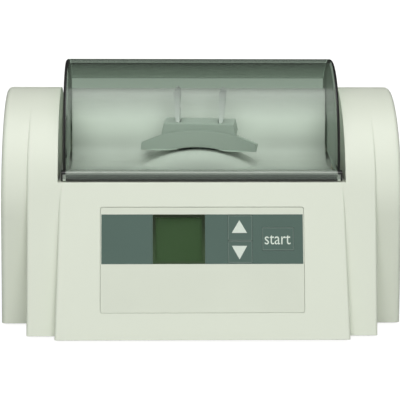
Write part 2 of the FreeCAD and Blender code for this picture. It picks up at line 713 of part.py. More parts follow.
def mixing_chamber():
    """Trough with end plates, the dome over the drive and the floors of the hood's end channels."""
    rear = POCKET_REAR_Y - FIT
    solid = side_prism(trough_curve(0, SEAT_Z), -TROUGH_HALF, TROUGH_HALF)
    hollow = side_prism(trough_curve(CHAMBER_WALL, SEAT_Z - 1), -TROUGH_HALF + CHAMBER_WALL,
                        TROUGH_HALF - CHAMBER_WALL)
    dome = Part.makeSphere(DOME_R, MIX_CENTRE).common(box(-FAR, FAR, TROUGH_FRONT_Y, rear, SEAT_Z + 1.5, FAR))
    dome = dome.cut(hollow)
    parts = [solid.cut(hollow), dome]
    for side in SIDES:
        x0, x1 = sorted((side * (TROUGH_HALF - 1), side * (POCKET_HALF - FIT)))
        parts.append(box(x0, x1, TROUGH_FRONT_Y, rear, SEAT_Z, SEAT_Z + CHANNEL_FLOOR))
    chamber = union(parts).cut(Part.makeSphere(DOME_R - DOME_WALL, MIX_CENTRE))
    slot = drive_box(-SLOT_HALF_X, SLOT_HALF_X, -SLOT_HALF_Y, SLOT_HALF_Y, DOME_R - 15, DOME_R + 10)
    ends = [edge for edge in slot.Edges if edge.BoundBox.ZLength > 20]
    slot = slot.makeFillet(SLOT_ROUND, ends)
    plunger = rod_z(PLUNGER_R + FIT, PLUNGER_X, PLUNGER_Y, SEAT_Z - 1, SEAT_Z + CHANNEL_FLOOR + 1)
    return chamber.cut(slot).cut(plunger)


# Hood
def end_wall_outline():
    """Hood's end wall: round edge from the lip over the top, then the ear round the hinge."""
    start = -degrees(atan2(HOOD_Z - BLOCK_TOP_Z - LIP_LIFT - 1, HOOD_R))
    return [on_circle(0, HOOD_Z, HOOD_R, start), arc_step(0, HOOD_Z, HOOD_R, start, HOOD_REAR),
            (HINGE_Y + HINGE_BOSS_R, HINGE_Z), (HINGE_Y, HINGE_Z - HINGE_BOSS_R)]


def hood():
    """Clear shell with two end walls, a thick lip at the front and two ears on the hinge."""
    half = HOOD_WIDTH / 2
    full = side_prism(end_wall_outline(), -half, half)
    corners = [edge for edge in full.Edges
               if edge.BoundBox.XLength < 0.1 and edge.BoundBox.ZLength > 40 and edge.BoundBox.YLength > 60]
    full = full.makeFillet(HOOD_WALL * 0.8, corners)
    inner_half = half - HOOD_WALL
    inner_r = HOOD_R - HOOD_WALL
    core = rod_x(inner_r, -inner_half, inner_half, 0, HOOD_Z)
    turn = radians(HOOD_REAR)
    rear = (-FAR * cos(turn), HOOD_Z + FAR * sin(turn))
    open_rear = side_prism([(0, HOOD_Z), rear, (FAR, rear[1]), (FAR, 0), (0, 0)], -inner_half, inner_half)
    open_base = box(-inner_half, inner_half, -inner_r, FAR, 0, HOOD_Z)
    shell = full.cut(union([core, open_rear, open_base]))
    low = BLOCK_TOP_Z + LIP_LIFT
    lip = box(-LIP_WIDTH / 2, LIP_WIDTH / 2, -HOOD_R - LIP_PROUD, -inner_r, low, low + LIP_HEIGHT)
    front = [edge for edge in lip.Edges if edge.BoundBox.YMax < -HOOD_R - LIP_PROUD + 0.1]
    lip = lip.makeFillet(LIP_ROUND, front)
    ears = []
    for side in SIDES:
        ear = Vector(side * inner_half, HINGE_Y, HINGE_Z)
        ears.append(rod(HINGE_BOSS_R, ear, ear + X * (side * (POCKET_HALF - EAR_GAP - inner_half))))
    whole = union([shell, lip] + ears)
    for side in SIDES:
        x0, x1 = sorted((side * (inner_half - 1), side * (POCKET_HALF + 1)))
        whole = whole.cut(rod_x(HINGE_PIN_R + RUN, x0, x1, HINGE_Y, HINGE_Z))
    return whole


def hinge_pins():
    pins = []
    for side in SIDES:
        x0, x1 = sorted((side * (HOOD_WIDTH / 2 - HOOD_WALL), side * (POCKET_HALF + WALL + HINGE_BOSS - 1)))
        pins.append(rod_x(HINGE_PIN_R, x0, x1, HINGE_Y, HINGE_Z))
    return Part.makeCompound(pins)


# Mixing drive
def skewed(shape):
    """Turn a shape built along X at the drive's centre onto the hub's skewed axis."""
    turned = shape.copy()
    turned.rotate(MIX_CENTRE, Z, -SKEW)
    return turned


def drive_box(x0, x1, y0, y1, z0, z1):
    """Box measured from the drive's centre."""
    return box(x0, x1, MIX_Y + y0, MIX_Y + y1, MIX_Z + z0, MIX_Z + z1)


def skew_hub():
    """Sleeve on the shaft that carries a journal and shoulder turned off the shaft's line."""
    half = BEARING_LENGTH / 2
    journal = skewed(rod_x(JOURNAL_R, -half - 0.1, half + 0.1))
    shoulder = skewed(rod_x(JOURNAL_R + SHOULDER_STEP, -half - SHOULDER, -half))
    sleeve = rod_x(HUB_SLEEVE_R, -HUB_HALF, HUB_HALF)
    return union([journal, shoulder, sleeve]).cut(rod_x(SHAFT_R, -HUB_HALF - 1, HUB_HALF + 1))


def bearing_clip():
    start = BEARING_LENGTH / 2 + 0.1
    ring = skewed(rod_x(JOURNAL_R + CLIP_STEP, start, start + CLIP_THICK))
    return ring.cut(rod_x(HUB_SLEEVE_R, -HUB_HALF, HUB_HALF))


def bearing_races():
    pitch = (JOURNAL_R + BEARING_R) / 2
    half = BEARING_LENGTH / 2
    groove = Part.makeTorus(pitch, BALL_R + RUN, MIX_CENTRE, X)
    inner = rod_x(pitch - RACE_HALF_GAP, -half, half).cut(rod_x(JOURNAL_R, -half, half)).cut(groove)
    outer = rod_x(BEARING_R, -half, half).cut(rod_x(pitch + RACE_HALF_GAP, -half, half)).cut(groove)
    balls = []
    for index in range(BALL_COUNT):
        turn = radians(360 * index / BALL_COUNT)
        balls.append(Part.makeSphere(BALL_R, MIX_CENTRE + Vector(0, pitch * cos(turn), pitch * sin(turn))))
    return skewed(inner), skewed(outer), skewed(Part.makeCompound(balls))


def mixing_arm():
    """Ring round the bearing, a stem up through the dome's slot and a tail down into the fork."""
    ring_r = BEARING_R + RING_WALL
    half = RING_LENGTH / 2
    root_top = ring_r + STEM_ROOT
    ring = rod_x(ring_r, -half, half)
    root = front_prism([(-half, MIX_Z + ring_r - 3), (-STEM_X / 2, MIX_Z + root_top),
                        (STEM_X / 2, MIX_Z + root_top), (half, MIX_Z + ring_r - 3)],
                       MIX_Y - STEM_Y / 2, MIX_Y + STEM_Y / 2)
    stem = drive_box(-STEM_X / 2, STEM_X / 2, -STEM_Y / 2, STEM_Y / 2, root_top, STEM_TOP)
    tail = rod_z(TAIL_R, 0, MIX_Y, MIX_Z - TAIL_LENGTH, MIX_Z - ring_r + 1.5)
    whole = union([ring, root, stem, tail]).cut(rod_x(BEARING_R, -half - 1, half + 1))
    return skewed(whole)


def skirt_outline(y, drop):
    """Outline of the saddle's wings at one depth, with its upper side lowered by drop."""
    tip = SADDLE_HALF
    block = SADDLE_BLOCK_HALF
    low = MIX_Z + SADDLE_LOW
    top = MIX_Z - drop
    points = [(-tip, low), (-tip + WING_DRAFT, top + SADDLE_TIP), (-block, top + SADDLE_SHOULDER),
              (0, top + SADDLE_CROWN, block, top + SADDLE_SHOULDER),
              (tip - WING_DRAFT, top + SADDLE_TIP), (tip, low)]
    return face_from(points, lambda x, z: Vector(x, MIX_Y + y, z)).OuterWire


def dust_saddle():
    """Hat-shaped shield: a block with two wings that fall to the rear, hollowed to follow the dome."""
    block = SADDLE_BLOCK_HALF
    upper = [(-block, SADDLE_SHOULDER), (-block + SADDLE_DRAFT, SADDLE_TOP),
             (block - SADDLE_DRAFT, SADDLE_TOP), (block, SADDLE_SHOULDER)]
    upper = front_prism([(x, MIX_Z + z) for x, z in upper], MIX_Y - SADDLE_HALF_Y, MIX_Y + SADDLE_HALF_Y)
    fall = 2 * WING_HALF_Y * tan(radians(WING_FALL))
    skirt = Part.makeLoft([skirt_outline(-WING_HALF_Y, 0), skirt_outline(WING_HALF_Y, fall)], True, True)
    body = union([upper, skirt]).cut(Part.makeSphere(DOME_R + SADDLE_GAP, MIX_CENTRE))
    body = body.cut(drive_box(-STEM_X / 2, STEM_X / 2, -STEM_Y / 2, STEM_Y / 2, DOME_R - 15, STEM_TOP))
    slot_y = HOLDER_WIDE / 2 + FIT
    for side in SIDES:
        inner = side * (HOLDER_GAP / 2 - HOLDER_PLAY)
        outer = side * (HOLDER_GAP / 2 + HOLDER_T + HOLDER_PLAY)
        x0, x1 = sorted((inner, outer))
        body = body.cut(drive_box(x0, x1, -slot_y, slot_y, HOLDER_FOOT - FIT, SADDLE_TOP + 1))
    return skewed(body)


def holder_arm(side):
    """Spring strip with two outward flanges, a dished seat for the capsule's end and a bent lead-in."""
    inner = HOLDER_GAP / 2
    outer = inner + HOLDER_T
    half = HOLDER_WIDE / 2
    bend = MIX_Z + HOLDER_TOP - HOLDER_LEAD
    top = MIX_Z + HOLDER_TOP
    low = MIX_Z + SADDLE_TOP + FIT
    web = drive_box(inner, outer, -half, half, HOLDER_FOOT, HOLDER_TOP - HOLDER_LEAD)
    lead_in = front_prism([(inner, bend), (inner + HOLDER_FLARE, top), (outer + HOLDER_FLARE, top),
                           (outer, bend)], MIX_Y - half, MIX_Y + half)
    flanges = []
    for y in (-half, half - FLANGE_T):
        flanges.append(front_prism([(inner, low), (inner + FLANGE_LOW, low), (inner + FLANGE_HIGH, bend),
                                    (inner, bend)], MIX_Y + y, MIX_Y + y + FLANGE_T))
    seat = rod_x(SEAT_R, inner - 1, outer + 1, MIX_Y, top - SEAT_BELOW)
    arm = union([web, lead_in] + flanges).cut(seat)
    if side < 0:
        arm = mirror_x(arm)
    return skewed(arm)


def shaft():
    return rod_x(SHAFT_R, SHAFT_X0, MOTOR_X0 + MOTOR_LENGTH + 3)


def half_disc(x0, x1, radius, up):
    """Half disc on a round hub; up puts its weight over the shaft."""
    disc = rod_x(radius, x0, x1)
    low, high = (WEIGHT_OFFSET, radius) if up else (-radius, -WEIGHT_OFFSET)
    keep = drive_box(x0, x1, -radius, radius, low, high)
    hub = rod_x(SHAFT_R + WEIGHT_HUB, x0, x1)
    return union([disc.common(keep), hub]).cut(rod_x(SHAFT_R, x0, x1))


def balance_weights():
    return Part.makeCompound([half_disc(HUB_HALF, HUB_HALF + WEIGHT_LENGTH, WEIGHT_R, True),
                              half_disc(-HUB_HALF - WEIGHT_LENGTH, -HUB_HALF, WEIGHT_R, False)])


def cooling_fan():
    """Disc with straight blades on a hub."""
    parts = [rod_x(FAN_R, FAN_X0, FAN_X0 + FAN_DISC), rod_x(FAN_HUB_R, FAN_X0, FAN_X0 + FAN_HUB)]
    for index in range(FAN_BLADES):
        blade = drive_box(FAN_X0, FAN_X0 + BLADE_LENGTH, -BLADE_T / 2, BLADE_T / 2, FAN_HUB_R - 1,
                          FAN_R - 0.5)
        blade.rotate(MIX_CENTRE, X, 360 * index / FAN_BLADES)
        parts.append(blade)
    return union(parts).cut(rod_x(SHAFT_R, FAN_X0 - 1, FAN_X0 + FAN_HUB + 1))


# Motor
def motor_can():
    return rod_x(MOTOR_R, CAN_X0, CAN_X1).cut(rod_x(MAGNET_R, CAN_X0, CAN_X1))


def motor_bell(x0, boss_x):
    plate = rod_x(MOTOR_R, x0, x0 + BELL)
    boss = rod_x(BELL_BOSS_R, min(boss_x, x0), max(boss_x, x0 + BELL))
    return union([plate, boss]).cut(rod_x(SHAFT_R + RUN, x0 - 10, x0 + BELL + 10))


def motor_magnets():
    ring = rod_x(MAGNET_R, CAN_X0 + MAGNET_START, COMMUTATOR_X0 - 3)
    ring = ring.cut(rod_x(MAGNET_R - MAGNET, CAN_X0, CAN_X1))
    gap = drive_box(0, FAR, -FAR, FAR, -MAGNET_SPLIT / 2, MAGNET_SPLIT / 2)
    return Part.makeCompound(ring.cut(gap).Solids)


def armature():
    """Slotted iron core with its windings showing at both ends."""
    x0 = CAN_X0 + MAGNET_START + 1
    x1 = COMMUTATOR_X0 - 4
    core = rod_x(ROTOR_R, x0, x1)
    for index in range(ARMATURE_SLOTS):
        slot = drive_box(x0 - 1, x1 + 1, -ARMATURE_SLOT / 2, ARMATURE_SLOT / 2, ROTOR_R - ARMATURE_SLOT_DEPTH,
                         ROTOR_R + 1)
        slot.rotate(MIX_CENTRE, X, 360 * index / ARMATURE_SLOTS)
        core = core.cut(slot)
    windings = rod_x(ROTOR_R - WINDING_DROP, x0 - WINDING_PROUD, x1 + WINDING_PROUD)
    return union([core, windings]).cut(rod_x(SHAFT_R, x0 - 5, x1 + 5))


def commutator():
    end = COMMUTATOR_X0 + COMMUTATOR_LENGTH
    ring = rod_x(COMMUTATOR_R, COMMUTATOR_X0, end).cut(rod_x(SHAFT_R, CAN_X0, CAN_X1))
    for index in range(COMMUTATOR_BARS):
        slit = drive_box(COMMUTATOR_X0 - 1, end + 1, -COMMUTATOR_SLIT / 2, COMMUTATOR_SLIT / 2,
                         COMMUTATOR_R - 1, COMMUTATOR_R + 1)
        slit.rotate(MIX_CENTRE, X, 360 * index / COMMUTATOR_BARS)
        ring = ring.cut(slit)
    return ring


def motor_brushes():
    """Two brushes; each reaches from the commutator to the can's inner wall."""
    brushes = []
    middle = COMMUTATOR_X0 + COMMUTATOR_LENGTH / 2
    reach = sqrt(MAGNET_R ** 2 - (BRUSH_Z / 2) ** 2)
    for side in SIDES:
        y0, y1 = sorted((side * (COMMUTATOR_R + BRUSH_GAP), side * reach))
        brushes.append(drive_box(middle - BRUSH_X / 2, middle + BRUSH_X / 2, y0, y1, -BRUSH_Z / 2,
                                 BRUSH_Z / 2))
    return Part.makeCompound(brushes)


def motor_screws():
    screws = []
    start = MOTOR_X0 - UPRIGHT
    for y, z in MOTOR_SCREWS:
        screws.append(union([rod_x(MOTOR_SCREW_R, start, MOTOR_X0 + BELL, y, z),
                             rod_x(SCREW_HEAD_R, start - SCREW_HEAD, start, y, z)]))
    return Part.makeCompound(screws)


def screw_holes(x0, x1):
    return [rod_x(MOTOR_SCREW_R, x0, x1, y, z) for y, z in MOTOR_SCREWS]


# Sub-frame
def motor_subframe():
    """Folded plate: a floor and two uprights, one for the bush and one for the motor."""
    plate = box(FRAME_X0, FRAME_X1, MIX_Y - FRAME_HALF_Y, MIX_Y + FRAME_HALF_Y, FRAME_Z, FRAME_TOP)
    top = MIX_Z + UPRIGHT_OVER
    left = box(UPRIGHT_LEFT_X, UPRIGHT_LEFT_X + UPRIGHT, MIX_Y - UPRIGHT_LEFT_HALF,
               MIX_Y + UPRIGHT_LEFT_HALF, FRAME_Z, top)
    right = box(MOTOR_X0 - UPRIGHT, MOTOR_X0, MIX_Y - UPRIGHT_RIGHT_HALF, MIX_Y + UPRIGHT_RIGHT_HALF,
                FRAME_Z, top)
    holes = [rod_x(BUSH_R, UPRIGHT_LEFT_X - 1, UPRIGHT_LEFT_X + UPRIGHT + 1),
             rod_x(BELL_BOSS_R, MOTOR_X0 - UPRIGHT - 1, MOTOR_X0 + 1)]
    holes += screw_holes(MOTOR_X0 - UPRIGHT - 1, MOTOR_X0 + 1)
    holes += [rod_z(ISOLATOR_STUD_R, x, y, FRAME_Z - 1, FRAME_TOP + 1) for x, y in ISOLATORS]
    frame = union([plate, left, right])
    for hole in holes:
        frame = frame.cut(hole)
    return frame


def shaft_bush():
    start = UPRIGHT_LEFT_X - BUSH_COLLAR
    collar = rod_x(BUSH_R + BUSH_COLLAR, start, UPRIGHT_LEFT_X)
    body = rod_x(BUSH_R, start, UPRIGHT_LEFT_X + UPRIGHT + 1)
    return union([collar, body]).cut(rod_x(SHAFT_R + RUN, start - 1, UPRIGHT_LEFT_X + UPRIGHT + 2))


def isolators():
    """Waisted rubber pads between base and sub-frame, each with a stud and a cap."""
    pads = []
    for x, y in ISOLATORS:
        pad = rod_z(ISOLATOR_R, x, y, BASE_TOP, FRAME_Z)
        stud = rod_z(ISOLATOR_STUD_R, x, y, FRAME_Z, FRAME_TOP)
        cap = rod_z(ISOLATOR_R - 2, x, y, FRAME_TOP, FRAME_TOP + ISOLATOR_CAP)
        waist = Part.makeTorus(ISOLATOR_R + WAIST_R / 3, WAIST_R, Vector(x, y, (BASE_TOP + FRAME_Z) / 2), Z)
        pads.append(union([pad.cut(waist), stud, cap]))
    return Part.makeCompound(pads)


def guide_fork():
    """Nylon slot that lets the arm's tail swing sideways but not turn with the shaft."""
    slot = TAIL_R + FIT
    parts = [box(-FORK_HALF_X, FORK_HALF_X, MIX_Y - FORK_HALF_Y, MIX_Y + FORK_HALF_Y, FRAME_TOP,
                 FRAME_TOP + FORK_FLOOR)]
    for side in SIDES:
        y0, y1 = sorted((MIX_Y + side * slot, MIX_Y + side * FORK_HALF_Y))
        parts.append(box(-FORK_HALF_X, FORK_HALF_X, y0, y1, FRAME_TOP, FRAME_TOP + FORK_HEIGHT))
    return union(parts)


# Base
def base_plate():
    """Floor of the case, with posts for the power board, screw holes and a row of vents."""
    tray = union(casing_lumps(WALL + FIT, TABLE_GAP)).common(box(-FAR, FAR, -FAR, FAR, TABLE_GAP, BASE_TOP))
    posts = [rod_z(POWER_POST_R, x, y, BASE_TOP - 0.5, POWER_BOARD_Z) for x, y in POWER_POSTS]
    tray = union([tray] + posts)
    holes = [rod_z(CASE_SCREW_R, x, y, TABLE_GAP - 1, BASE_TOP + 1) for x, y in CASE_SCREWS]
    holes += [rod_z(SCREW_R, x, y, TABLE_GAP - 1, BASE_TOP + 1) for x, y in FEET]
    holes += [rod_z(SCREW_R, x, y, BASE_TOP, POWER_BOARD_Z + 1) for x, y in POWER_POSTS]
    for index in range(BASE_VENTS):
        x = BASE_VENT_X0 + BASE_VENT_PITCH * index
        holes.append(box(x - BASE_VENT_WIDTH / 2, x + BASE_VENT_WIDTH / 2, *BASE_VENT_Y, TABLE_GAP - 1,
                         BASE_TOP + 1))
    for hole in holes:
        tray = tray.cut(hole)
    return tray


def rubber_feet():
    feet = []
    for x, y in FEET:
        foot = rod_z(FOOT_R, x, y, 0, TABLE_GAP)
        low = [edge for edge in foot.Edges if edge.BoundBox.ZMax < 0.01]
        foot = foot.makeFillet(FOOT_ROUND, low)
        foot = foot.cut(rod_z(SCREW_HEAD_R + 0.4, x, y, -1, FOOT_SINK))
        feet.append(foot.cut(rod_z(SCREW_R, x, y, -1, TABLE_GAP + 1)))
    return Part.makeCompound(feet)


def foot_screws():
    screws = []
    for x, y in FEET:
        head = rod_z(SCREW_HEAD_R, x, y, FOOT_SINK - 1, FOOT_SINK)
        screws.append(union([head, rod_z(SCREW_R, x, y, FOOT_SINK, BASE_TOP)]))
    return Part.makeCompound(screws)


def case_screws():
    """Four long screws up through the base into the posts."""
    screws = []
    for x, y in CASE_SCREWS:
        head = rod_z(CASE_HEAD_R, x, y, TABLE_GAP - SCREW_HEAD, TABLE_GAP)
        shank = rod_z(CASE_SCREW_R, x, y, TABLE_GAP, BASE_TOP + CASE_THREAD)
        socket = rod_z(CASE_SOCKET_R, x, y, TABLE_GAP - SCREW_HEAD - 1, TABLE_GAP - SCREW_HEAD / 2)
        screws.append(union([head, shank]).cut(socket))
    return Part.makeCompound(screws)


# Control face
def keypad_plate():
    """Plate let into the control face, stepped for the strip and cut for window and keys."""
    plate = slab(-PLATE_WIDTH / 2, PLATE_WIDTH / 2, PLATE_LOW, PLATE_LOW + PLATE_HEIGHT, PLATE_INSET, PLATE_BACK,
                 PLATE_ROUND)
    cut = strip_openings(PLATE_INSET - 1, PLATE_BACK + 1)
    cut.append(slab(-STRIP_WIDTH / 2, STRIP_WIDTH / 2, STRIP_LOW, STRIP_LOW + STRIP_HEIGHT, PLATE_INSET - 1,
                    PLATE_INSET + STRIP_THICK))
    for tool in cut:
        plate = plate.cut(tool)
    return plate


def strip_openings(depth0, depth1):
    tools = [slab(WINDOW_X0, WINDOW_X0 + WINDOW_WIDTH, STRIP_LOW, STRIP_LOW + STRIP_HEIGHT, depth0, depth1)]
    for x0, x1, low, high in KEYS.values():
        tools.append(slab(x0 - KEY_GAP, x1 + KEY_GAP, low - KEY_GAP, high + KEY_GAP, depth0, depth1, KEY_ROUND))
    return tools


def graphic_strip():
    strip = slab(-STRIP_WIDTH / 2, STRIP_WIDTH / 2, STRIP_LOW, STRIP_LOW + STRIP_HEIGHT, PLATE_INSET,
                 PLATE_INSET + STRIP_THICK)
    for tool in strip_openings(PLATE_INSET - 1, PLATE_INSET + STRIP_THICK + 1):
        strip = strip.cut(tool)
    return Part.makeCompound(strip.Solids)


def display_window():
    gap = WINDOW_PLAY
    return slab(WINDOW_X0 + gap, WINDOW_X0 + WINDOW_WIDTH - gap, STRIP_LOW + gap,
                STRIP_LOW + STRIP_HEIGHT - gap, PLATE_INSET + gap, PLATE_BACK)


def display():
    """Liquid crystal block between the casing's back and the board."""
    return slab(WINDOW_X0 - 1, WINDOW_X0 + WINDOW_WIDTH + 1, STRIP_LOW - 2, STRIP_LOW + STRIP_HEIGHT + 2,
                LCD_FRONT, BOARD_DEPTH)


def key(name):
    """Cap, flange behind the plate and stem down to its push switch.

    The up and down keys share a border, so neither has a flange there.
    """
    x0, x1, low, high = KEYS[name]
    grow_low = 0.0 if name == "key_up" else KEY_FLANGE
    grow_high = 0.0 if name == "key_down" else KEY_FLANGE
    cap = slab(x0, x1, low, high, PLATE_INSET - KEY_PROUD, FLANGE_BACK, KEY_ROUND)
    flange = slab(x0 - KEY_FLANGE, x1 + KEY_FLANGE, low - grow_low, high + grow_high, FLANGE_FRONT, FLANGE_BACK,
                  KEY_ROUND)
    x = (x0 + x1) / 2
    up = (low + high) / 2
    end = BOARD_DEPTH - SWITCH_BODY - SWITCH_BUTTON - KEY_TRAVEL - 0.05
    stem = on_slope(rod(STEM_R, Vector(x, up, -end), Vector(x, up, -FLANGE_BACK + 0.2)))
    return union([cap, flange, stem])


def control_board():
    back = BOARD_DEPTH + BOARD_THICK
    board = slab(-BOARD_HALF, BOARD_HALF, BOARD_LOW, BOARD_HIGH, BOARD_DEPTH, back, BOARD_ROUND)
    for x, up in BOARD_POSTS:
        board = board.cut(on_slope(rod(SCREW_R, Vector(x, up, -back - 1), Vector(x, up, 0))))
    return board


def board_screws():
    """The eight like screws of the control board and the power board."""
    screws = []
    back = -BOARD_DEPTH - BOARD_THICK
    for x, up in BOARD_POSTS:
        screw = union([rod(SCREW_R, Vector(x, up, back), Vector(x, up, -WALL)),
                       rod(SCREW_HEAD_R, Vector(x, up, back - SCREW_HEAD), Vector(x, up, back))])
        screws.append(on_slope(screw))
    for x, y in POWER_POSTS:
        shank = rod_z(SCREW_R, x, y, BASE_TOP + 0.5, POWER_TOP)
        screws.append(union([shank, rod_z(SCREW_HEAD_R, x, y, POWER_TOP, POWER_TOP + SCREW_HEAD)]))
    return Part.makeCompound(screws)


def push_switches():
    switches = []
    front = BOARD_DEPTH - SWITCH_BODY
    for x0, x1, low, high in KEYS.values():
        x = (x0 + x1) / 2
        up = (low + high) / 2
        body = slab(x - SWITCH_HALF, x + SWITCH_HALF, up - SWITCH_HALF, up + SWITCH_HALF, front, BOARD_DEPTH)
        button = on_slope(rod(SWITCH_BUTTON_R, Vector(x, up, -front), Vector(x, up, -front + SWITCH_BUTTON)))
        switches.append(union([body, button]))
    return Part.makeCompound(switches)


def buzzer():
    back = -BOARD_DEPTH - BOARD_THICK
    far = back - BUZZER_HEIGHT
    body = rod(BUZZER_R, Vector(BUZZER_X, BUZZER_UP, far), Vector(BUZZER_X, BUZZER_UP, back))
    mouth = rod(BUZZER_HOLE_R, Vector(BUZZER_X, BUZZER_UP, far - 1), Vector(BUZZER_X, BUZZER_UP, far + 3))
    return on_slope(body.cut(mouth))


# Power side
def power_board():
    board = box(POWER_X0, POWER_X1, POWER_Y0, POWER_Y1, POWER_BOARD_Z, POWER_TOP)
    for x, y in POWER_POSTS:
        board = board.cut(rod_z(SCREW_R, x, y, POWER_BOARD_Z - 1, POWER_TOP + 1))
    return board


def transformer():
    """Iron core with a coil through it, on a flat foot."""
    core = box(CORE_X0, CORE_X0 + CORE_X, 0, CORE_Y, POWER_TOP, POWER_TOP + CORE_Z)
    x0 = CORE_X0 + COIL_INSET
    x1 = CORE_X0 + CORE_X - COIL_INSET
    coil = box(x0, x1, -COIL_OVER, CORE_Y + COIL_OVER, POWER_TOP + COIL_FOOT, POWER_TOP + COIL_Z)
    foot = box(x0, x1, -COIL_OVER, CORE_Y + COIL_OVER, POWER_TOP, POWER_TOP + COIL_FOOT)
    rounded = coil.makeFillet(COIL_ROUND, [edge for edge in coil.Edges if edge.BoundBox.ZLength > 20])
    return union([core, rounded, foot])


def capacitors():
    return Part.makeCompound([rod_z(radius, x, y, POWER_TOP, POWER_TOP + height)
                              for x, y, radius, height in CAPACITORS])


def heat_sink():
    x0 = POWER_X0 + 1
    x1 = x0 + SINK_T
    y1 = SINK_Y0 + FIN_PITCH * (FINS - 1) + FIN_T
    parts = [box(x0, x1, SINK_Y0, y1, POWER_TOP, POWER_TOP + SINK_Z)]
    for index in range(FINS):
        y = SINK_Y0 + FIN_PITCH * index
        parts.append(box(x1, x1 + SINK_T, y, y + FIN_T, POWER_TOP, POWER_TOP + SINK_Z))
    return union(parts)


# Rear panel
def rear_panel():
    """Metal plate with vents and the cut-outs for the inlet and the switch."""
    panel = box(-REAR_HALF + PANEL_PLAY, REAR_HALF - PANEL_PLAY, REAR_Y, PANEL_OUT, REAR_LOW + PANEL_PLAY,
                REAR_HIGH - PANEL_PLAY)
    cuts = [box(INLET_X - INLET_HALF_X, INLET_X + INLET_HALF_X, REAR_Y - 1, FAR, INLET_Z - INLET_HALF_Z,
                INLET_TOP),
            box(ROCKER_X - SWITCH_HALF_X, ROCKER_X + SWITCH_HALF_X, REAR_Y - 1, FAR,
                ROCKER_Z - SWITCH_HALF_Z, ROCKER_Z + SWITCH_HALF_Z)]
    for index in range(VENTS):
        x = VENT_X0 + VENT_PITCH * index
        cuts.append(box(x - VENT_WIDTH / 2, x + VENT_WIDTH / 2, REAR_Y - 1, FAR, *VENT_Z))
    for x, z in REAR_SCREWS:
        cuts.append(rod(SCREW_R, Vector(x, REAR_Y - 1, z), Vector(x, PANEL_OUT + 1, z)))
    for cut in cuts:
        panel = panel.cut(cut)
    return panel


def rear_screws():
    """Four slotted screws."""
    screws = []
    for x, z in REAR_SCREWS:
        shank = rod(SCREW_R, Vector(x, REAR_Y - WALL, z), Vector(x, PANEL_OUT, z))
        head = rod(SCREW_HEAD_R, Vector(x, PANEL_OUT, z), Vector(x, PANEL_OUT + SCREW_HEAD, z))
        slot = box(x - 2, x + 2, PANEL_OUT + SCREW_HEAD / 2, PANEL_OUT + SCREW_HEAD + 1, z - 0.4, z + 0.4)
        screws.append(union([shank, head]).cut(slot))
    return Part.makeCompound(screws)


def mains_inlet():
    """Inlet socket and fuse housing in one moulding, flange outside the panel."""
    face = PANEL_OUT + INLET_FLANGE
    rim_x = INLET_HALF_X + INLET_FLANGE_RIM
    flange = box(INLET_X - rim_x, INLET_X + rim_x, PANEL_OUT, face, INLET_Z - INLET_HALF_Z - INLET_FLANGE_RIM,
                 INLET_TOP + INLET_FLANGE)
    body = box(INLET_X - INLET_HALF_X, INLET_X + INLET_HALF_X, INLET_BACK, PANEL_OUT, INLET_Z - INLET_HALF_Z,
               INLET_TOP)
    corner_x = SOCKET_HALF_X - SOCKET_CORNER
    corner_z = SOCKET_HALF_Z - SOCKET_CORNER
    outline = [(-SOCKET_HALF_X, -SOCKET_HALF_Z), (-SOCKET_HALF_X, corner_z), (-corner_x, SOCKET_HALF_Z),
               (corner_x, SOCKET_HALF_Z), (SOCKET_HALF_X, corner_z), (SOCKET_HALF_X, -SOCKET_HALF_Z)]
    socket = front_prism([(INLET_X + x, INLET_Z + z) for x, z in outline], face - SOCKET_DEPTH, face + 1)
    half_x = FUSE_HALF_X + FUSE_PLAY
    half_z = FUSE_HALF_Z + FUSE_PLAY
    drawer = box(INLET_X - half_x, INLET_X + half_x, INLET_BACK + DRAWER_BACK - 1, face + 1, FUSE_Z - half_z,
                 FUSE_Z + half_z)
    whole = union([flange, body]).cut(socket).cut(drawer)
    for pin in inlet_pin_boxes():
        whole = whole.cut(pin)
    return whole


def inlet_pin_boxes():
    """Live, neutral and, above them, earth."""
    pins = []
    for dx, dz in ((-PIN_SPREAD, -PIN_DROP), (PIN_SPREAD, -PIN_DROP), (0, PIN_EARTH)):
        x = INLET_X + dx
        z = INLET_Z + dz
        pins.append(box(x - PIN_X / 2, x + PIN_X / 2, INLET_BACK - PIN_TAIL, PANEL_OUT - PIN_SUNK,
                        z - PIN_Z / 2, z + PIN_Z / 2))
    return pins


def inlet_pins():
    return Part.makeCompound(inlet_pin_boxes())


def fuse_drawer():
    """Drawer with a finger grip and a trough for each of its two fuses."""
    back = INLET_BACK + DRAWER_BACK
    front = PANEL_OUT + DRAWER_PROUD
    top = FUSE_Z + FUSE_HALF_Z
    body = box(INLET_X - FUSE_HALF_X, INLET_X + FUSE_HALF_X, back, front, FUSE_Z - FUSE_HALF_Z, top)
    body = body.cut(box(INLET_X - GRIP_HALF, INLET_X + GRIP_HALF, front - GRIP_DEPTH, front + 1, FUSE_Z - 1,
                        top + 1))
    width = FUSE_R + FIT
    for side in SIDES:
        x = INLET_X + side * FUSE_PITCH / 2
        body = body.cut(box(x - width, x + width, back + 1, back + 1 + FUSE_LENGTH + 2 * FUSE_PLAY,
                            FUSE_Z - FUSE_R - 0.1, top + 1))
    return body


def fuses():
    tubes = []
    start = INLET_BACK + DRAWER_BACK + 1 + FUSE_PLAY
    z = FUSE_Z - 0.05
    for side in SIDES:
        x = INLET_X + side * FUSE_PITCH / 2
        tubes.append(rod(FUSE_R, Vector(x, start, z), Vector(x, start + FUSE_LENGTH, z)))
    return Part.makeCompound(tubes)


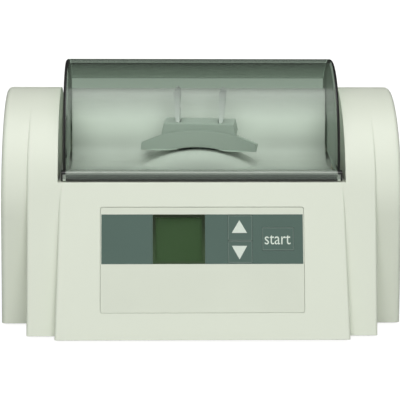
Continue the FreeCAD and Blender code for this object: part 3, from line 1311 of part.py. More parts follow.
def switch_body():
    """Snap-in switch housing with a flange outside the panel."""
    rim_x = SWITCH_HALF_X + SWITCH_RIM_X
    rim_z = SWITCH_HALF_Z + SWITCH_RIM_Z
    flange = box(ROCKER_X - rim_x, ROCKER_X + rim_x, PANEL_OUT, PANEL_OUT + SWITCH_FLANGE, ROCKER_Z - rim_z,
                 ROCKER_Z + rim_z)
    body = box(ROCKER_X - SWITCH_HALF_X, ROCKER_X + SWITCH_HALF_X, PANEL_OUT - SWITCH_DEPTH, PANEL_OUT,
               ROCKER_Z - SWITCH_HALF_Z, ROCKER_Z + SWITCH_HALF_Z)
    mouth_x = ROCKER_HALF_X + ROCKER_SIDE_GAP
    mouth_z = ROCKER_HALF_Z + ROCKER_END_GAP
    mouth = box(ROCKER_X - mouth_x, ROCKER_X + mouth_x, PANEL_OUT - SWITCH_MOUTH, PANEL_OUT + SWITCH_FLANGE + 1,
                ROCKER_Z - mouth_z, ROCKER_Z + mouth_z)
    return union([flange, body]).cut(mouth)


def power_rocker():
    """Rocker with a shallow V front, pivoted on a bar along X, resting in its off position."""
    low = ROCKER_Z - ROCKER_HALF_Z
    high = ROCKER_Z + ROCKER_HALF_Z
    back = PANEL_OUT - ROCKER_BACK
    front = PANEL_OUT + ROCKER_PROUD
    outline = [(back, low), (front, low), (front - ROCKER_DIP, ROCKER_Z), (front, high), (back, high)]
    rocker = side_prism(outline, ROCKER_X - ROCKER_HALF_X, ROCKER_X + ROCKER_HALF_X)
    mouth_x = ROCKER_HALF_X + ROCKER_SIDE_GAP
    pivot_y = PANEL_OUT - ROCKER_PIVOT
    pivot = rod_x(ROCKER_PIVOT_R, ROCKER_X - mouth_x, ROCKER_X + mouth_x, pivot_y, ROCKER_Z)
    rocker = union([rocker, pivot])
    rocker.rotate(Vector(ROCKER_X, pivot_y, ROCKER_Z), X, ROCKER_TILT)
    return rocker


# Hood switch
def hood_switch():
    """Small switch under the chamber's seat; the hood's end wall works its plunger."""
    top = SEAT_Z - WALL
    half_x = HOOD_SWITCH_X / 2
    half_y = HOOD_SWITCH_Y / 2
    body = box(PLUNGER_X - half_x, PLUNGER_X + half_x, PLUNGER_Y - half_y, PLUNGER_Y + half_y,
               top - HOOD_SWITCH_Z, top)
    return body.cut(rod_z(PLUNGER_R + FIT, PLUNGER_X, PLUNGER_Y, top - PLUNGER_DEPTH - 0.5, top + 1))


def switch_plunger():
    top = hood_edge_z(PLUNGER_Y) - FIT
    return rod_z(PLUNGER_R, PLUNGER_X, PLUNGER_Y, SEAT_Z - WALL - PLUNGER_DEPTH, top)


def hood_edge_z(y):
    """Height of the end wall's lower edge at y."""
    outline = end_wall_outline()
    y0, z0 = outline[0]
    y1, z1 = outline[-1]
    return z0 + (z1 - z0) * (y - y0) / (y1 - y0)


# Leads
def lead(points, radius):
    """Round lead on straight runs joined by arcs tangent to both."""
    points = [Vector(*point) for point in points]
    edges = []
    here = points[0]
    for before, corner, after in zip(points, points[1:], points[2:]):
        into = corner - before
        out = after - corner
        turn = into.getAngle(out)
        set_back = 0.45 * min(into.Length, out.Length)
        start = corner - into.normalize() * set_back
        end = corner + out.normalize() * set_back
        bend = set_back / tan(turn / 2)
        bisector = (end - corner) + (start - corner)
        bisector.normalize()
        middle = corner + bisector * (sqrt(bend ** 2 + set_back ** 2) - bend)
        edges.append(Part.LineSegment(here, start).toShape())
        edges.append(Part.Arc(start, middle, end).toShape())
        here = end
    edges.append(Part.LineSegment(here, points[-1]).toShape())
    path = Part.Wire(edges)
    along = points[1] - points[0]
    ring = Part.Wire([Part.makeCircle(radius, points[0], along)])
    return path.makePipeShell([ring], True, False)


def mains_leads():
    """Live and neutral, from the inlet's pins across the floor and down onto the power board."""
    leads = []
    back = INLET_BACK - PIN_TAIL
    pin_z = INLET_Z - PIN_DROP
    for side in SIDES:
        x = INLET_X + side * PIN_SPREAD
        rise = side * 2.5
        end_x = POWER_X1 - 16 + rise
        end_y = POWER_Y1 - 8 + rise
        leads.append(lead([(x, back, pin_z), (x, back - 12, pin_z), (x - 34, back - 22 + rise, pin_z - 4),
                           (-16, end_y - 4, pin_z), (end_x, end_y, POWER_TOP + LEAD_DROP + 4),
                           (end_x, end_y, POWER_TOP)], MAINS_LEAD_R))
    return Part.makeCompound(leads)


def motor_leads():
    """Two leads from the motor's rear bell, round behind the sub-frame and onto the power board."""
    leads = []
    end_x = MOTOR_X0 + MOTOR_LENGTH
    behind = MIX_Y + FRAME_HALF_Y + 8
    for side in SIDES:
        y = MIX_Y + 13 + side * 3
        side_y = behind + side * 3
        board_x = POWER_X1 - 12 + side * 2
        leads.append(lead([(end_x, y, MIX_Z + 12), (end_x + 10, y, MIX_Z + 12),
                           (end_x + 6, side_y - 4, MIX_Z - 8), (end_x - 24, side_y + 4, 15),
                           (18, side_y, 12), (-18, side_y + 2, 18), (board_x, side_y, POWER_TOP + LEAD_DROP + 4),
                           (board_x, side_y, POWER_TOP)], MOTOR_LEAD_R))
    return Part.makeCompound(leads)


def ribbon_cable():
    """Flat cable: back from the control board, down, across the floor and over onto the power board."""
    start = on_slope(Part.Vertex(Vector(0, RIBBON_UP, -BOARD_DEPTH - BOARD_THICK))).Point
    back = start.y + RIBBON_BACK
    rise = POWER_Y0 - RIBBON_LOOP
    end = POWER_Y0 + RIBBON_LOOP
    over = POWER_TOP + RIBBON_LOOP
    low = BASE_TOP + FIT
    thick = RIBBON_THICK
    runs = [(start.y, back, start.z - thick, start.z), (back - thick, back, low, start.z),
            (back - thick, rise, low, low + thick), (rise - thick, rise, low, over),
            (rise - thick, end, over - thick, over), (end - thick, end, POWER_TOP, over)]
    return union([box(RIBBON_X0, RIBBON_X0 + RIBBON_WIDTH, *run) for run in runs])


def build():
    inner_race, outer_race, balls = bearing_races()
    front_bell = motor_bell(MOTOR_X0, MOTOR_X0 - UPRIGHT)
    for hole in screw_holes(MOTOR_X0 - 1, MOTOR_X0 + BELL):
        front_bell = front_bell.cut(hole)
    pieces = {
        "upper_housing": upper_housing(),
        "base_plate": base_plate(),
        "mixing_chamber": mixing_chamber(),
        "hood": hood(),
        "hinge_pins": hinge_pins(),
        "keypad_plate": keypad_plate(),
        "graphic_strip": graphic_strip(),
        "display_window": display_window(),
        "display": display(),
        "control_board": control_board(),
        "board_screws": board_screws(),
        "push_switches": push_switches(),
        "buzzer": buzzer(),
        "mixing_arm": mixing_arm(),
        "dust_saddle": dust_saddle(),
        "holder_arm_left": holder_arm(-1),
        "holder_arm_right": holder_arm(1),
        "bearing_outer_race": outer_race,
        "bearing_inner_race": inner_race,
        "bearing_balls": balls,
        "bearing_clip": bearing_clip(),
        "skew_hub": skew_hub(),
        "shaft": shaft(),
        "balance_weights": balance_weights(),
        "cooling_fan": cooling_fan(),
        "armature": armature(),
        "commutator": commutator(),
        "motor_can": motor_can(),
        "motor_front_bell": front_bell,
        "motor_rear_bell": motor_bell(CAN_X1, MOTOR_X0 + MOTOR_LENGTH + BELL_BOSS),
        "motor_magnets": motor_magnets(),
        "motor_brushes": motor_brushes(),
        "motor_screws": motor_screws(),
        "motor_subframe": motor_subframe(),
        "shaft_bush": shaft_bush(),
        "guide_fork": guide_fork(),
        "isolators": isolators(),
        "rubber_feet": rubber_feet(),
        "foot_screws": foot_screws(),
        "case_screws": case_screws(),
        "power_board": power_board(),
        "transformer": transformer(),
        "capacitors": capacitors(),
        "heat_sink": heat_sink(),
        "rear_panel": rear_panel(),
        "rear_screws": rear_screws(),
        "mains_inlet": mains_inlet(),
        "inlet_pins": inlet_pins(),
        "fuse_drawer": fuse_drawer(),
        "fuses": fuses(),
        "switch_body": switch_body(),
        "power_rocker": power_rocker(),
        "hood_switch": hood_switch(),
        "switch_plunger": switch_plunger(),
        "mains_leads": mains_leads(),
        "motor_leads": motor_leads(),
        "ribbon_cable": ribbon_cable(),
    }
    for name in KEYS:
        pieces[name] = key(name)
    return pieces


for name, shape in build().items():
    save(name, shape)
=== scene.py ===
import json
import math

import bpy
import numpy as np
from mathutils import Matrix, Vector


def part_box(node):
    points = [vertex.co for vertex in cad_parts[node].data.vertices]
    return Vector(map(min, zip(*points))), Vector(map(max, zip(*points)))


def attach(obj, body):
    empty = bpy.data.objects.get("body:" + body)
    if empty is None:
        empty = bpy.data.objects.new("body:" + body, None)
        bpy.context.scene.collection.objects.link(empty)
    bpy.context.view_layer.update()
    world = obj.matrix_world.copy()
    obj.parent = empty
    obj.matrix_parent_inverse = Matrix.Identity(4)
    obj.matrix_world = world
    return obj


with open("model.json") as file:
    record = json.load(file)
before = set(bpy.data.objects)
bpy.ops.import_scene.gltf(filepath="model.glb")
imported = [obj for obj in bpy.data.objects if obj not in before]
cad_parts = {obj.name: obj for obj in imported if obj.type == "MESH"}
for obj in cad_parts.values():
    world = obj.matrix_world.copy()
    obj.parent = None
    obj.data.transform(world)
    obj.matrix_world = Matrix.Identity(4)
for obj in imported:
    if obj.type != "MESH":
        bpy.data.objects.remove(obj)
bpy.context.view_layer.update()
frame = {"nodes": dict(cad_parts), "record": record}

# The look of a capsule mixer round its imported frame. Metres, X right, Y away from the user, Z up.
MM = 0.001

# Control face, measured up the slope from the block's lower edge
FACE_LEAN = math.radians(22.3)
KEY_FACE = -0.15 * MM          # key caps below the casing's face
PRINT = 0.03 * MM              # thickness of printed ink
ARROW_MIDDLE = 22.85 * MM
ARROW_HALF = 4.7 * MM
ARROW_UP = (66.05 * MM, 74.05 * MM)
ARROW_DOWN = (58.05 * MM, 49.6 * MM)
START_LEFT = 38.4 * MM
START_WIDTH = 15.9 * MM
START_LOW = 58.9 * MM
START_HEIGHT = 5.9 * MM
WINDOW = (-30.4 * MM, 1.6 * MM, 46.9 * MM, 77.5 * MM)
# Width of the ring of painted shade round the display window.
WINDOW_SHADE_WIDE = 1.7 * MM
WINDOW_FACE = -0.27 * MM
RIM_WIDE = 0.38 * MM
RIM_PROUD = 0.06 * MM
KEY_RIMS = {
    "key_up": (15.9, 30.7, 61.25, 76.8),
    "key_down": (15.9, 30.7, 47.6, 60.95),
    "key_start": (37.0, 56.2, 55.3, 69.3),
}

# Saddle's front, in millimetres from the drive's centre along the arm's own axes
DRIVE = np.array([0.0, -14.0, 40.0])
DRIVE_SKEW = math.radians(6.0)
SADDLE_FRONT = -11.2
LIP_ENDS = (12.5, 33.0)
LIP_FLAT = 64.15               # height of the wing's lower edge
LIP_UNDER = 67.1               # radius of the hollow over the dome
LIP_THICK = 0.45

# Camera, fitted to the photograph's edges
TARGET = np.array([0.0, -60.0, 70.0]) * MM
DISTANCE = 1.2
ELEVATION = math.radians(14.0)
YAW = math.radians(1.75)
ROLL = math.radians(0.37)
FOCAL_PIXELS = 1926.0
FRAME_PIXELS = 400.0
CENTRE_X = 201.5
CENTRE_Y = 215.8
SENSOR = 36.0


def srgb(red, green, blue, scale=1.0):
    """Display colour, 0 to 255, as the linear colour that a shader takes."""
    levels = np.array([red, green, blue]) / 255
    linear = np.where(levels <= 0.04045, levels / 12.92, ((levels + 0.055) / 1.055) ** 2.4)
    return (*(linear * scale).clip(0, 1).tolist(), 1.0)


# Shader building
class Wire:
    """An output socket. Arithmetic with numbers or other wires adds Math nodes."""

    def __init__(self, paint, socket):
        self.paint = paint
        self.socket = socket

    def maths(self, operation, first, second=0.0):
        return self.paint.node("ShaderNodeMath", {"operation": operation}, {0: first, 1: second})

    def __add__(self, other):
        return self.maths("ADD", self, other)

    __radd__ = __add__

    def __mul__(self, other):
        return self.maths("MULTIPLY", self, other)

    __rmul__ = __mul__

    def __sub__(self, other):
        return self.maths("SUBTRACT", self, other)

    def __rsub__(self, other):
        return self.maths("SUBTRACT", other, self)

    def __pow__(self, other):
        return self.maths("POWER", self, other)

    def above(self, limit):
        return self.maths("GREATER_THAN", self, limit)

    def sine(self):
        return self.maths("SINE", self)

    def size(self):
        return self.maths("ABSOLUTE", self)


class Paint:
    """A material being made. Patterns read Object coordinates, so they stay with the piece."""

    def __init__(self, name):
        self.material = bpy.data.materials.new(name)
        self.material.use_nodes = True
        self.tree = self.material.node_tree
        self.tree.nodes.clear()
        self.place = self.node("ShaderNodeTexCoord", output="Object")
        self.facing = self.node("ShaderNodeTexCoord", output="Normal")

    def node(self, kind, settings=None, sockets=None, output=0):
        """Any node: its settings first, then values or wires for its sockets."""
        made = self.tree.nodes.new(kind)
        for name, value in (settings or {}).items():
            setattr(made, name, value)
        for key, value in (sockets or {}).items():
            if isinstance(value, Wire):
                self.tree.links.new(value.socket, made.inputs[key])
            else:
                made.inputs[key].default_value = value
        return Wire(self, made.outputs[output])

    def stretched(self, stretch):
        """Object coordinates scaled along each axis."""
        return self.node("ShaderNodeMapping", None, {"Vector": self.place, "Scale": stretch})

    def noise(self, scale, detail=2.0, stretch=None):
        place = self.place if stretch is None else self.stretched(stretch)
        return self.node("ShaderNodeTexNoise", None, {"Vector": place, "Scale": scale, "Detail": detail})

    def cells(self, scale):
        return self.node("ShaderNodeTexVoronoi", None, {"Vector": self.place, "Scale": scale})

    def axis(self, name):
        """One of the X, Y and Z object coordinates."""
        return self.node("ShaderNodeSeparateXYZ", None, {0: self.place}, name)

    def step(self, value, low, high, to_low=0.0, to_high=1.0):
        """Smooth step from one value to another."""
        return self.node("ShaderNodeMapRange", {"interpolation_type": "SMOOTHSTEP"},
                         {"Value": value, "From Min": low, "From Max": high, "To Min": to_low,
                          "To Max": to_high})

    def mix(self, factor, first, second):
        """Colour mix."""
        return self.node("ShaderNodeMix", {"data_type": "RGBA"}, {0: factor, 6: first, 7: second}, 2)

    def soft_edges(self, radius):
        """Normals rounded over the edges, as a moulding or a deburred part has them."""
        return self.node("ShaderNodeBevel", {"samples": 4}, {"Radius": radius})

    def bump(self, height, strength, distance, normal=None):
        sockets = {"Height": height, "Strength": strength, "Distance": distance}
        if normal is not None:
            sockets["Normal"] = normal
        return self.node("ShaderNodeBump", None, sockets)

    def principled(self, **sockets):
        names = {key.replace("_", " "): value for key, value in sockets.items()}
        return self.node("ShaderNodeBsdfPrincipled", None, names)

    def show(self, shader):
        end = self.tree.nodes.new("ShaderNodeOutputMaterial")
        self.tree.links.new(shader.socket, end.inputs["Surface"])
        return self.material


def moulded(name, colour, roughness=0.45, grain=0.5, drift=0.05, edge=0.35, corner_shade=0.0, reach=3.0, dust_and_shade=0.0):
    """Moulded plastic: slow drift in tone, spark-eroded grain, faint scuffs, rounded edges.

    Corner shade is painted shade, darker in the plastic's seams and corners within its reach of a wall.
    Dust and shade is painted shade, darker low down at both ends of the trough.
    """
    paint = Paint(name)
    cloud = paint.noise(14.0, 3.0)
    flecks = paint.noise(900.0, 2.0)
    scuffs = paint.noise(160.0, 4.0, (1.0, 0.25, 3.0))
    pale = srgb(*colour, 1 + drift)
    deep = srgb(*colour, 1 - drift)
    tone = paint.mix(cloud * 0.8 + flecks * 0.2, deep, pale)
    # Painted shade: darker where ambient occlusion finds a wall close by.
    if corner_shade:
        open_sky = paint.node("ShaderNodeAmbientOcclusion", {"samples": 8}, {"Distance": reach * MM}, "AO")
        tone = paint.mix((1.0 - open_sky) * corner_shade, tone, srgb(*colour, 0.3))
    # Painted shade: darker low down at both ends.
    if dust_and_shade:
        depth = paint.step(paint.axis("Z"), 98.0 * MM, 119.0 * MM, dust_and_shade, 0.0)
        ends = paint.step(paint.axis("X").size(), 22.0 * MM, 50.0 * MM)
        tone = paint.mix(depth * ends, tone, srgb(*colour, 0.25))
    grain_height = paint.cells(1400.0) * 0.6 + paint.noise(2600.0, 1.0) * 0.4
    shine = paint.step(scuffs, 0.35, 0.75, roughness - 0.05, roughness + 0.08)
    normal = paint.bump(grain_height, grain, 0.03 * MM, paint.soft_edges(edge * MM))
    return paint.show(paint.principled(Base_Color=tone, Roughness=shine, Normal=normal))


def housing_white():
    """The casing's off-white moulding, with painted shade in its seams and corners."""
    return moulded("housing_white", (232, 238, 222), 0.42, 0.35, 0.02, 0.5, 0.25)


def chamber_white():
    """The trough's white, with painted shade in its hollows and low down at both ends."""
    return moulded("chamber_white", (253, 254, 250), 0.36, 0.2, 0.01, 2.0, 0.35, 22.0, 0.42)


def film(name, colour, roughness, grain=0.25, drift=0.03):
    """Printed polyester film: even colour under a fine etched face."""
    paint = Paint(name)
    cloud = paint.noise(30.0, 2.0)
    etch = paint.cells(2400.0)
    tone = paint.mix(cloud, srgb(*colour, 1 - drift), srgb(*colour, 1 + drift))
    shine = paint.step(paint.noise(400.0, 3.0), 0.3, 0.7, roughness - 0.04, roughness + 0.05)
    normal = paint.bump(etch, grain, 0.015 * MM, paint.soft_edges(0.12 * MM))
    return paint.show(paint.principled(Base_Color=tone, Roughness=shine, Normal=normal))


def smoke_clear():
    """Smoke-tinted clear moulding: each face lets less through as it turns away from the eye.

    Rounded corners of the end walls and the lip's ends are looked at along the plastic, so they
    are near black. The lip's foot is painted black as the shadow of the gap beneath it, its upper edge
    and the ends of its face carry a painted highlight, and the flat end walls a painted pale reflection
    where they turn from the eye. Lamps reach what is under the hood, but its lower part and its lip
    shade them a little.
    """
    paint = Paint("smoke_clear")
    turn = paint.node("ShaderNodeLayerWeight", None, {"Blend": 0.5}, "Facing")
    height = paint.axis("Z")
    across = paint.axis("X").size()
    sideways = paint.node("ShaderNodeSeparateXYZ", None, {0: paint.facing}, "X").size()
    strip = paint.step(height, 97.1 * MM, 97.5 * MM, 1.0, 0.0)
    # Painted shadow: the lip's foot is drawn black for the gap under it.
    foot = paint.step(height, 94.1 * MM, 94.5 * MM, 1.0, 0.0)
    # Painted highlight along the lip's upper edge.
    crest_highlight = paint.step(height, 98.8 * MM, 99.3 * MM, 1.0, 0.0) - strip
    shade = paint.step(height, 108.0 * MM, 140.0 * MM, 0.5, 0.0)
    end_wall = paint.step(across, 83.2 * MM, 83.4 * MM)
    flat_end = end_wall * paint.step(sideways, 0.95, 0.99)
    corner = paint.step(across, 83.9 * MM, 84.3 * MM) * (1.0 - flat_end) * (1.0 - strip)
    lug = paint.step(across, 85.8 * MM, 86.1 * MM) * strip
    # Painted highlight on the lip near its ends.
    glint = paint.step(across, 83.9 * MM, 84.2 * MM) * strip * (1.0 - lug)
    # Painted pale reflection on the flat end walls seen at a slant.
    mirror = paint.step(turn, 0.6, 0.88) * flat_end
    swirl = paint.noise(45.0, 2.0, (0.3, 1.0, 1.0))
    sheer = paint.step(turn, 0.0, 0.26, 0.04, 0.33) * (1.0 - end_wall * 0.5)
    edge = turn ** 4.0 * 0.6 * (1.0 - end_wall)
    tint = sheer + edge + (strip + crest_highlight) * 0.35 + foot * 0.5 + corner + lug + mirror * 0.6 + swirl * 0.02
    # Black: painted shadow at the lip's foot, and the plastic's ends seen along it.
    black = paint.step(foot * (1.0 - glint) + corner + lug, 0.0, 0.8)
    smoke = paint.mix(strip, srgb(46, 55, 46), srgb(134, 144, 135))
    # Pale colour of the painted highlights on the lip.
    pale = paint.mix(crest_highlight + glint, smoke, srgb(206, 216, 204))
    # Colour of the painted reflection on the end walls.
    lit = paint.mix(mirror, pale, srgb(172, 184, 172))
    tone = paint.mix(black, lit, srgb(4, 5, 4))
    wipe = paint.noise(70.0, 3.0, (0.15, 1.0, 1.0))
    shine = paint.step(wipe, 0.3, 0.8, 0.12, 0.2) + (corner + mirror) * 0.35
    normal = paint.bump(paint.noise(25.0, 1.0), 0.03, 0.1 * MM)
    body = paint.principled(Base_Color=tone, Roughness=shine, IOR=1.9, Normal=normal)
    thin = paint.node("ShaderNodeBsdfTransparent", None, {"Color": (0.965, 1.0, 0.97, 1.0)})
    lamp_ray = paint.node("ShaderNodeLightPath", output="Is Shadow Ray")
    cover = tint * (1.0 - lamp_ray) + lamp_ray * (strip * 0.4 + shade)
    return paint.show(paint.node("ShaderNodeMixShader", None, {0: cover, 1: thin, 2: body}))


def clear_film(name, colour, alpha, roughness):
    """Thin clear window or glass tube with a faint tint and fine dust."""
    paint = Paint(name)
    turn = paint.node("ShaderNodeLayerWeight", None, {"Blend": 0.5}, "Facing")
    dust_and_shade = paint.step(paint.cells(350.0), 0.0, 0.05, 0.05, 0.0)
    cover = alpha + turn * 0.3 + dust_and_shade
    return paint.show(paint.principled(Base_Color=srgb(*colour), Roughness=roughness, IOR=1.6, Alpha=cover))


def display_green():
    """Unlit reflective display: dark green glass over a segment mask too faint to read."""
    paint = Paint("display_green")
    cloud = paint.noise(60.0, 2.0)
    lines = (paint.axis("X") * 9000.0).sine() * 0.5 + 0.5
    tone = paint.mix(cloud * 0.9 + lines * 0.1, srgb(62, 92, 53), srgb(70, 100, 61))
    normal = paint.bump(paint.noise(1500.0, 1.0), 0.05, 0.01 * MM)
    return paint.show(paint.principled(Base_Color=tone, Roughness=0.3, Normal=normal))


def metal(name, colour, roughness, lay=(1.0, 1.0, 1.0), scratch=900.0, metallic=1.0, edge=0.15):
    """Bare or plated metal with tool marks along its lay, smears and deburred edges."""
    paint = Paint(name)
    marks = paint.noise(scratch, 4.0, lay)
    smear = paint.noise(60.0, 3.0)
    tone = paint.mix(smear, srgb(*colour, 0.82), srgb(*colour, 1.08))
    shine = paint.step(marks, 0.3, 0.7, roughness * 0.75, roughness * 1.3) + smear * 0.06
    normal = paint.bump(marks, 0.25, 0.02 * MM, paint.soft_edges(edge * MM))
    return paint.show(paint.principled(Base_Color=tone, Roughness=shine, Metallic=metallic, Normal=normal))


def iron():
    """Stacked laminations under brown varnish, one dark line for each sheet."""
    paint = Paint("iron")
    sheets = ((paint.axis("Y") + paint.axis("Z") * 0.02) * (2 * math.pi / (0.7 * MM))).sine()
    edge = paint.step(sheets, 0.5, 0.95)
    rust = paint.noise(120.0, 4.0)
    tone = paint.mix(edge * 0.6 + rust * 0.4, srgb(104, 92, 82), srgb(46, 38, 33))
    shine = paint.step(rust, 0.3, 0.7, 0.3, 0.5)
    return paint.show(paint.principled(Base_Color=tone, Roughness=shine, Metallic=0.6,
                                       Normal=paint.bump(sheets, 0.3, 0.05 * MM)))


def board_green():
    """Circuit board: solder mask with copper tracks under it and tinned pads."""
    paint = Paint("board_green")
    across = (paint.axis("X") * 1800.0 + paint.noise(70.0, 0.0) * 9.0).sine()
    up = (paint.axis("Y") * 1500.0 + paint.noise(55.0, 0.0) * 7.0).sine()
    tracks = paint.step(across * up, 0.1, 0.16)
    pads = paint.step(paint.cells(260.0), 0.12, 0.14, 1.0, 0.0)
    mask = paint.mix(tracks, srgb(18, 70, 40), srgb(36, 98, 56))
    tone = paint.mix(pads, mask, srgb(196, 196, 188))
    normal = paint.bump(tracks + pads, 0.3, 0.05 * MM)
    return paint.show(paint.principled(Base_Color=tone, Roughness=paint.step(pads, 0.0, 1.0, 0.32, 0.22),
                                       Metallic=pads * 0.8, Normal=normal))


def rubber(name, colour, roughness=0.75, lay=(1.0, 1.0, 1.0)):
    """Rubber or lead sheath: matt, with bloom and fine drag marks."""
    paint = Paint(name)
    bloom = paint.noise(90.0, 4.0)
    drag = paint.noise(1200.0, 2.0, lay)
    tone = paint.mix(bloom, srgb(*colour, 0.85), srgb(*colour, 1.35))
    shine = paint.step(bloom, 0.3, 0.7, roughness - 0.1, roughness + 0.1)
    return paint.show(paint.principled(Base_Color=tone, Roughness=shine,
                                       Normal=paint.bump(drag, 0.3, 0.03 * MM)))


def ribbon_grey():
    """Flat cable: round cores side by side, the first one marked."""
    paint = Paint("ribbon_grey")
    cores = (paint.axis("X") * (2 * math.pi / (1.27 * MM))).sine()
    first = paint.step(paint.axis("X"), -65.0 * MM, -64.8 * MM, 1.0, 0.0)
    tone = paint.mix(first, srgb(150, 152, 150), srgb(170, 44, 38))
    return paint.show(paint.principled(Base_Color=tone, Roughness=paint.step(cores, -1.0, 1.0, 0.55, 0.42),
                                       Normal=paint.bump(cores, 0.8, 0.3 * MM)))


def coated(name, colour, roughness=0.5):
    """Powder coat: orange-peel ripple over metal."""
    paint = Paint(name)
    peel = paint.noise(700.0, 2.0)
    cloud = paint.noise(20.0, 3.0)
    tone = paint.mix(cloud, srgb(*colour, 0.93), srgb(*colour, 1.06))
    shine = paint.step(peel, 0.3, 0.7, roughness - 0.06, roughness + 0.06)
    normal = paint.bump(peel, 0.35, 0.05 * MM, paint.soft_edges(0.3 * MM))
    return paint.show(paint.principled(Base_Color=tone, Roughness=shine, Normal=normal))


def window_shade_green():
    """Dark ring round the window's inside, with painted shade deepest along the top, where the recess shades
    the display.
    """
    paint = Paint("window_shade_green")
    up = paint.axis("Z")
    # Painted shade, deepest along the top of the window.
    edge = paint.step(up, 50.0 * MM, 72.0 * MM)
    grain = paint.noise(900.0, 2.0)
    tone = paint.mix(edge * 0.85 + grain * 0.15, srgb(58, 80, 50), srgb(30, 42, 23))
    return paint.show(paint.principled(Base_Color=tone, Roughness=paint.step(grain, 0.3, 0.7, 0.35, 0.5),
                                       Normal=paint.bump(grain, 0.1, 0.01 * MM)))


def ink():
    """White screen ink, thin enough to show the film's etch."""
    paint = Paint("white_ink")
    cover = paint.noise(700.0, 3.0)
    tone = paint.mix(cover, srgb(214, 226, 212), srgb(232, 241, 230))
    return paint.show(paint.principled(Base_Color=tone, Roughness=paint.step(cover, 0.2, 0.8, 0.45, 0.6),
                                       Normal=paint.bump(cover, 0.2, 0.01 * MM)))


ALONG_X = (0.05, 1.0, 1.0)
ALONG_Z = (1.0, 1.0, 0.06)
FINISHES = {
    "housing_white": housing_white(),
    "chamber_white": chamber_white(),
    "base_grey": moulded("base_grey", (150, 153, 150), 0.55, 0.6, 0.04),
    "smoke_clear": smoke_clear(),
    "steel": metal("steel", (190, 192, 194), 0.26, ALONG_X),
    # Holder arms near white and barely metallic: painted reflection of the white trough round them.
    "spring_steel": metal("spring_steel", (255, 255, 255), 0.4, ALONG_Z, metallic=0.02),
    "frame_steel": coated("frame_steel", (84, 88, 92)),
    "motor_steel": metal("motor_steel", (176, 178, 176), 0.34, ALONG_X, 400.0),
    "iron": iron(),
    "copper": metal("copper", (206, 128, 88), 0.25, ALONG_X),
    "brass": metal("brass", (206, 176, 104), 0.28, ALONG_X),
    "cast_aluminium": metal("cast_aluminium", (198, 201, 203), 0.42, scratch=350.0, edge=0.4),
    "plate_white": film("plate_white", (226, 232, 216), 0.4),
    "strip_grey": film("strip_grey", (86, 108, 99), 0.38),
    "window_clear": clear_film("window_clear", (60, 74, 56), 0.05, 0.12),
    "display_green": display_green(),
    # The saddle's grey carries painted shade in its seams and hollows.
    "saddle_grey": moulded("saddle_grey", (200, 209, 202), 0.46, 0.4, 0.03, 1.2, 0.4, 8.0),
    "board_green": board_green(),
    "black_plastic": moulded("black_plastic", (38, 38, 39), 0.42, 0.6, 0.1, 0.3),
    "nylon": moulded("nylon", (226, 222, 206), 0.4, 0.15, 0.03, 0.3),
    "rubber_black": rubber("rubber_black", (32, 32, 33)),
    "panel_grey": coated("panel_grey", (186, 190, 184)),
    "fuse_glass": clear_film("fuse_glass", (214, 222, 220), 0.35, 0.05),
    "lead_brown": rubber("lead_brown", (98, 60, 38), 0.5),
    "lead_red": rubber("lead_red", (160, 34, 28), 0.5),
    "ribbon_grey": ribbon_grey(),
}
INK = ink()
RIM = film("key_rim", (124, 142, 133), 0.42)
WINDOW_SHADE = window_shade_green()
# Pale bead colour: painted highlight along the saddle's lower rim.
BEAD_HIGHLIGHT = moulded("saddle_bead", (222, 232, 224), 0.4, 0.2, 0.02, 0.1)


def dress_frame():
    """Every carried-over piece takes the finish of its slot."""
    for part in frame["record"]["subparts"]:
        node = frame["nodes"][part["node"]]
        node.data.materials.clear()
        node.data.materials.append(FINISHES[part["material_slot"]])


# Piece building
def add_piece(name, body, vertices, faces, finish):
    """A mesh whose place is in its vertices, riding on a body."""
    mesh = bpy.data.meshes.new(name)
    mesh.from_pydata(np.asarray(vertices).tolist(), [], faces)
    mesh.update()
    mesh.materials.append(finish)
    made = bpy.data.objects.new(name, mesh)
    bpy.context.scene.collection.objects.link(made)
    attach(made, body)
    return made


def on_face(points):
    """Points (across, up the slope, out of it) of the control face, in the frame."""
    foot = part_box("upper_housing")[0]
    points = np.asarray(points, float)
    lean_cos, lean_sin = math.cos(FACE_LEAN), math.sin(FACE_LEAN)
    y = foot.y + points[:, 1] * lean_sin - points[:, 2] * lean_cos
    z = foot.z + points[:, 1] * lean_cos + points[:, 2] * lean_sin
    return np.column_stack([points[:, 0], y, z])


def prism(outline, low, high):
    """Closed prism: the outline, anticlockwise, at two depths."""
    count = len(outline)
    rings = [np.column_stack([outline, np.full(count, depth)]) for depth in (low, high)]
    nxt = (np.arange(count) + 1) % count
    index = np.arange(count)
    sides = np.column_stack([index, nxt, nxt + count, index + count]).tolist()
    return np.vstack(rings), [index[::-1].tolist(), (index + count).tolist()] + sides


def rounded_rectangle(x0, x1, y0, y1, radius, steps=6):
    """Four quarter circles joined by straight runs, anticlockwise."""
    turn = np.linspace(0, math.pi / 2, steps)
    corners = [(x1 - radius, y1 - radius, 0), (x0 + radius, y1 - radius, 1),
               (x0 + radius, y0 + radius, 2), (x1 - radius, y0 + radius, 3)]
    arcs = [np.column_stack([x + radius * np.cos(turn + quarter * math.pi / 2),
                             y + radius * np.sin(turn + quarter * math.pi / 2)])
            for x, y, quarter in corners]
    return np.vstack(arcs)


def loop_faces(rows, columns, close_rows):
    """Quads of a grid whose columns close on themselves."""
    row = np.arange(rows if close_rows else rows - 1)
    column = np.arange(columns)
    row, column = (part.ravel() for part in np.meshgrid(row, column, indexing="ij"))
    after = (column + 1) % columns
    above = (row + 1) % rows
    return np.column_stack([row * columns + column, row * columns + after, above * columns + after,
                            above * columns + column]).tolist()


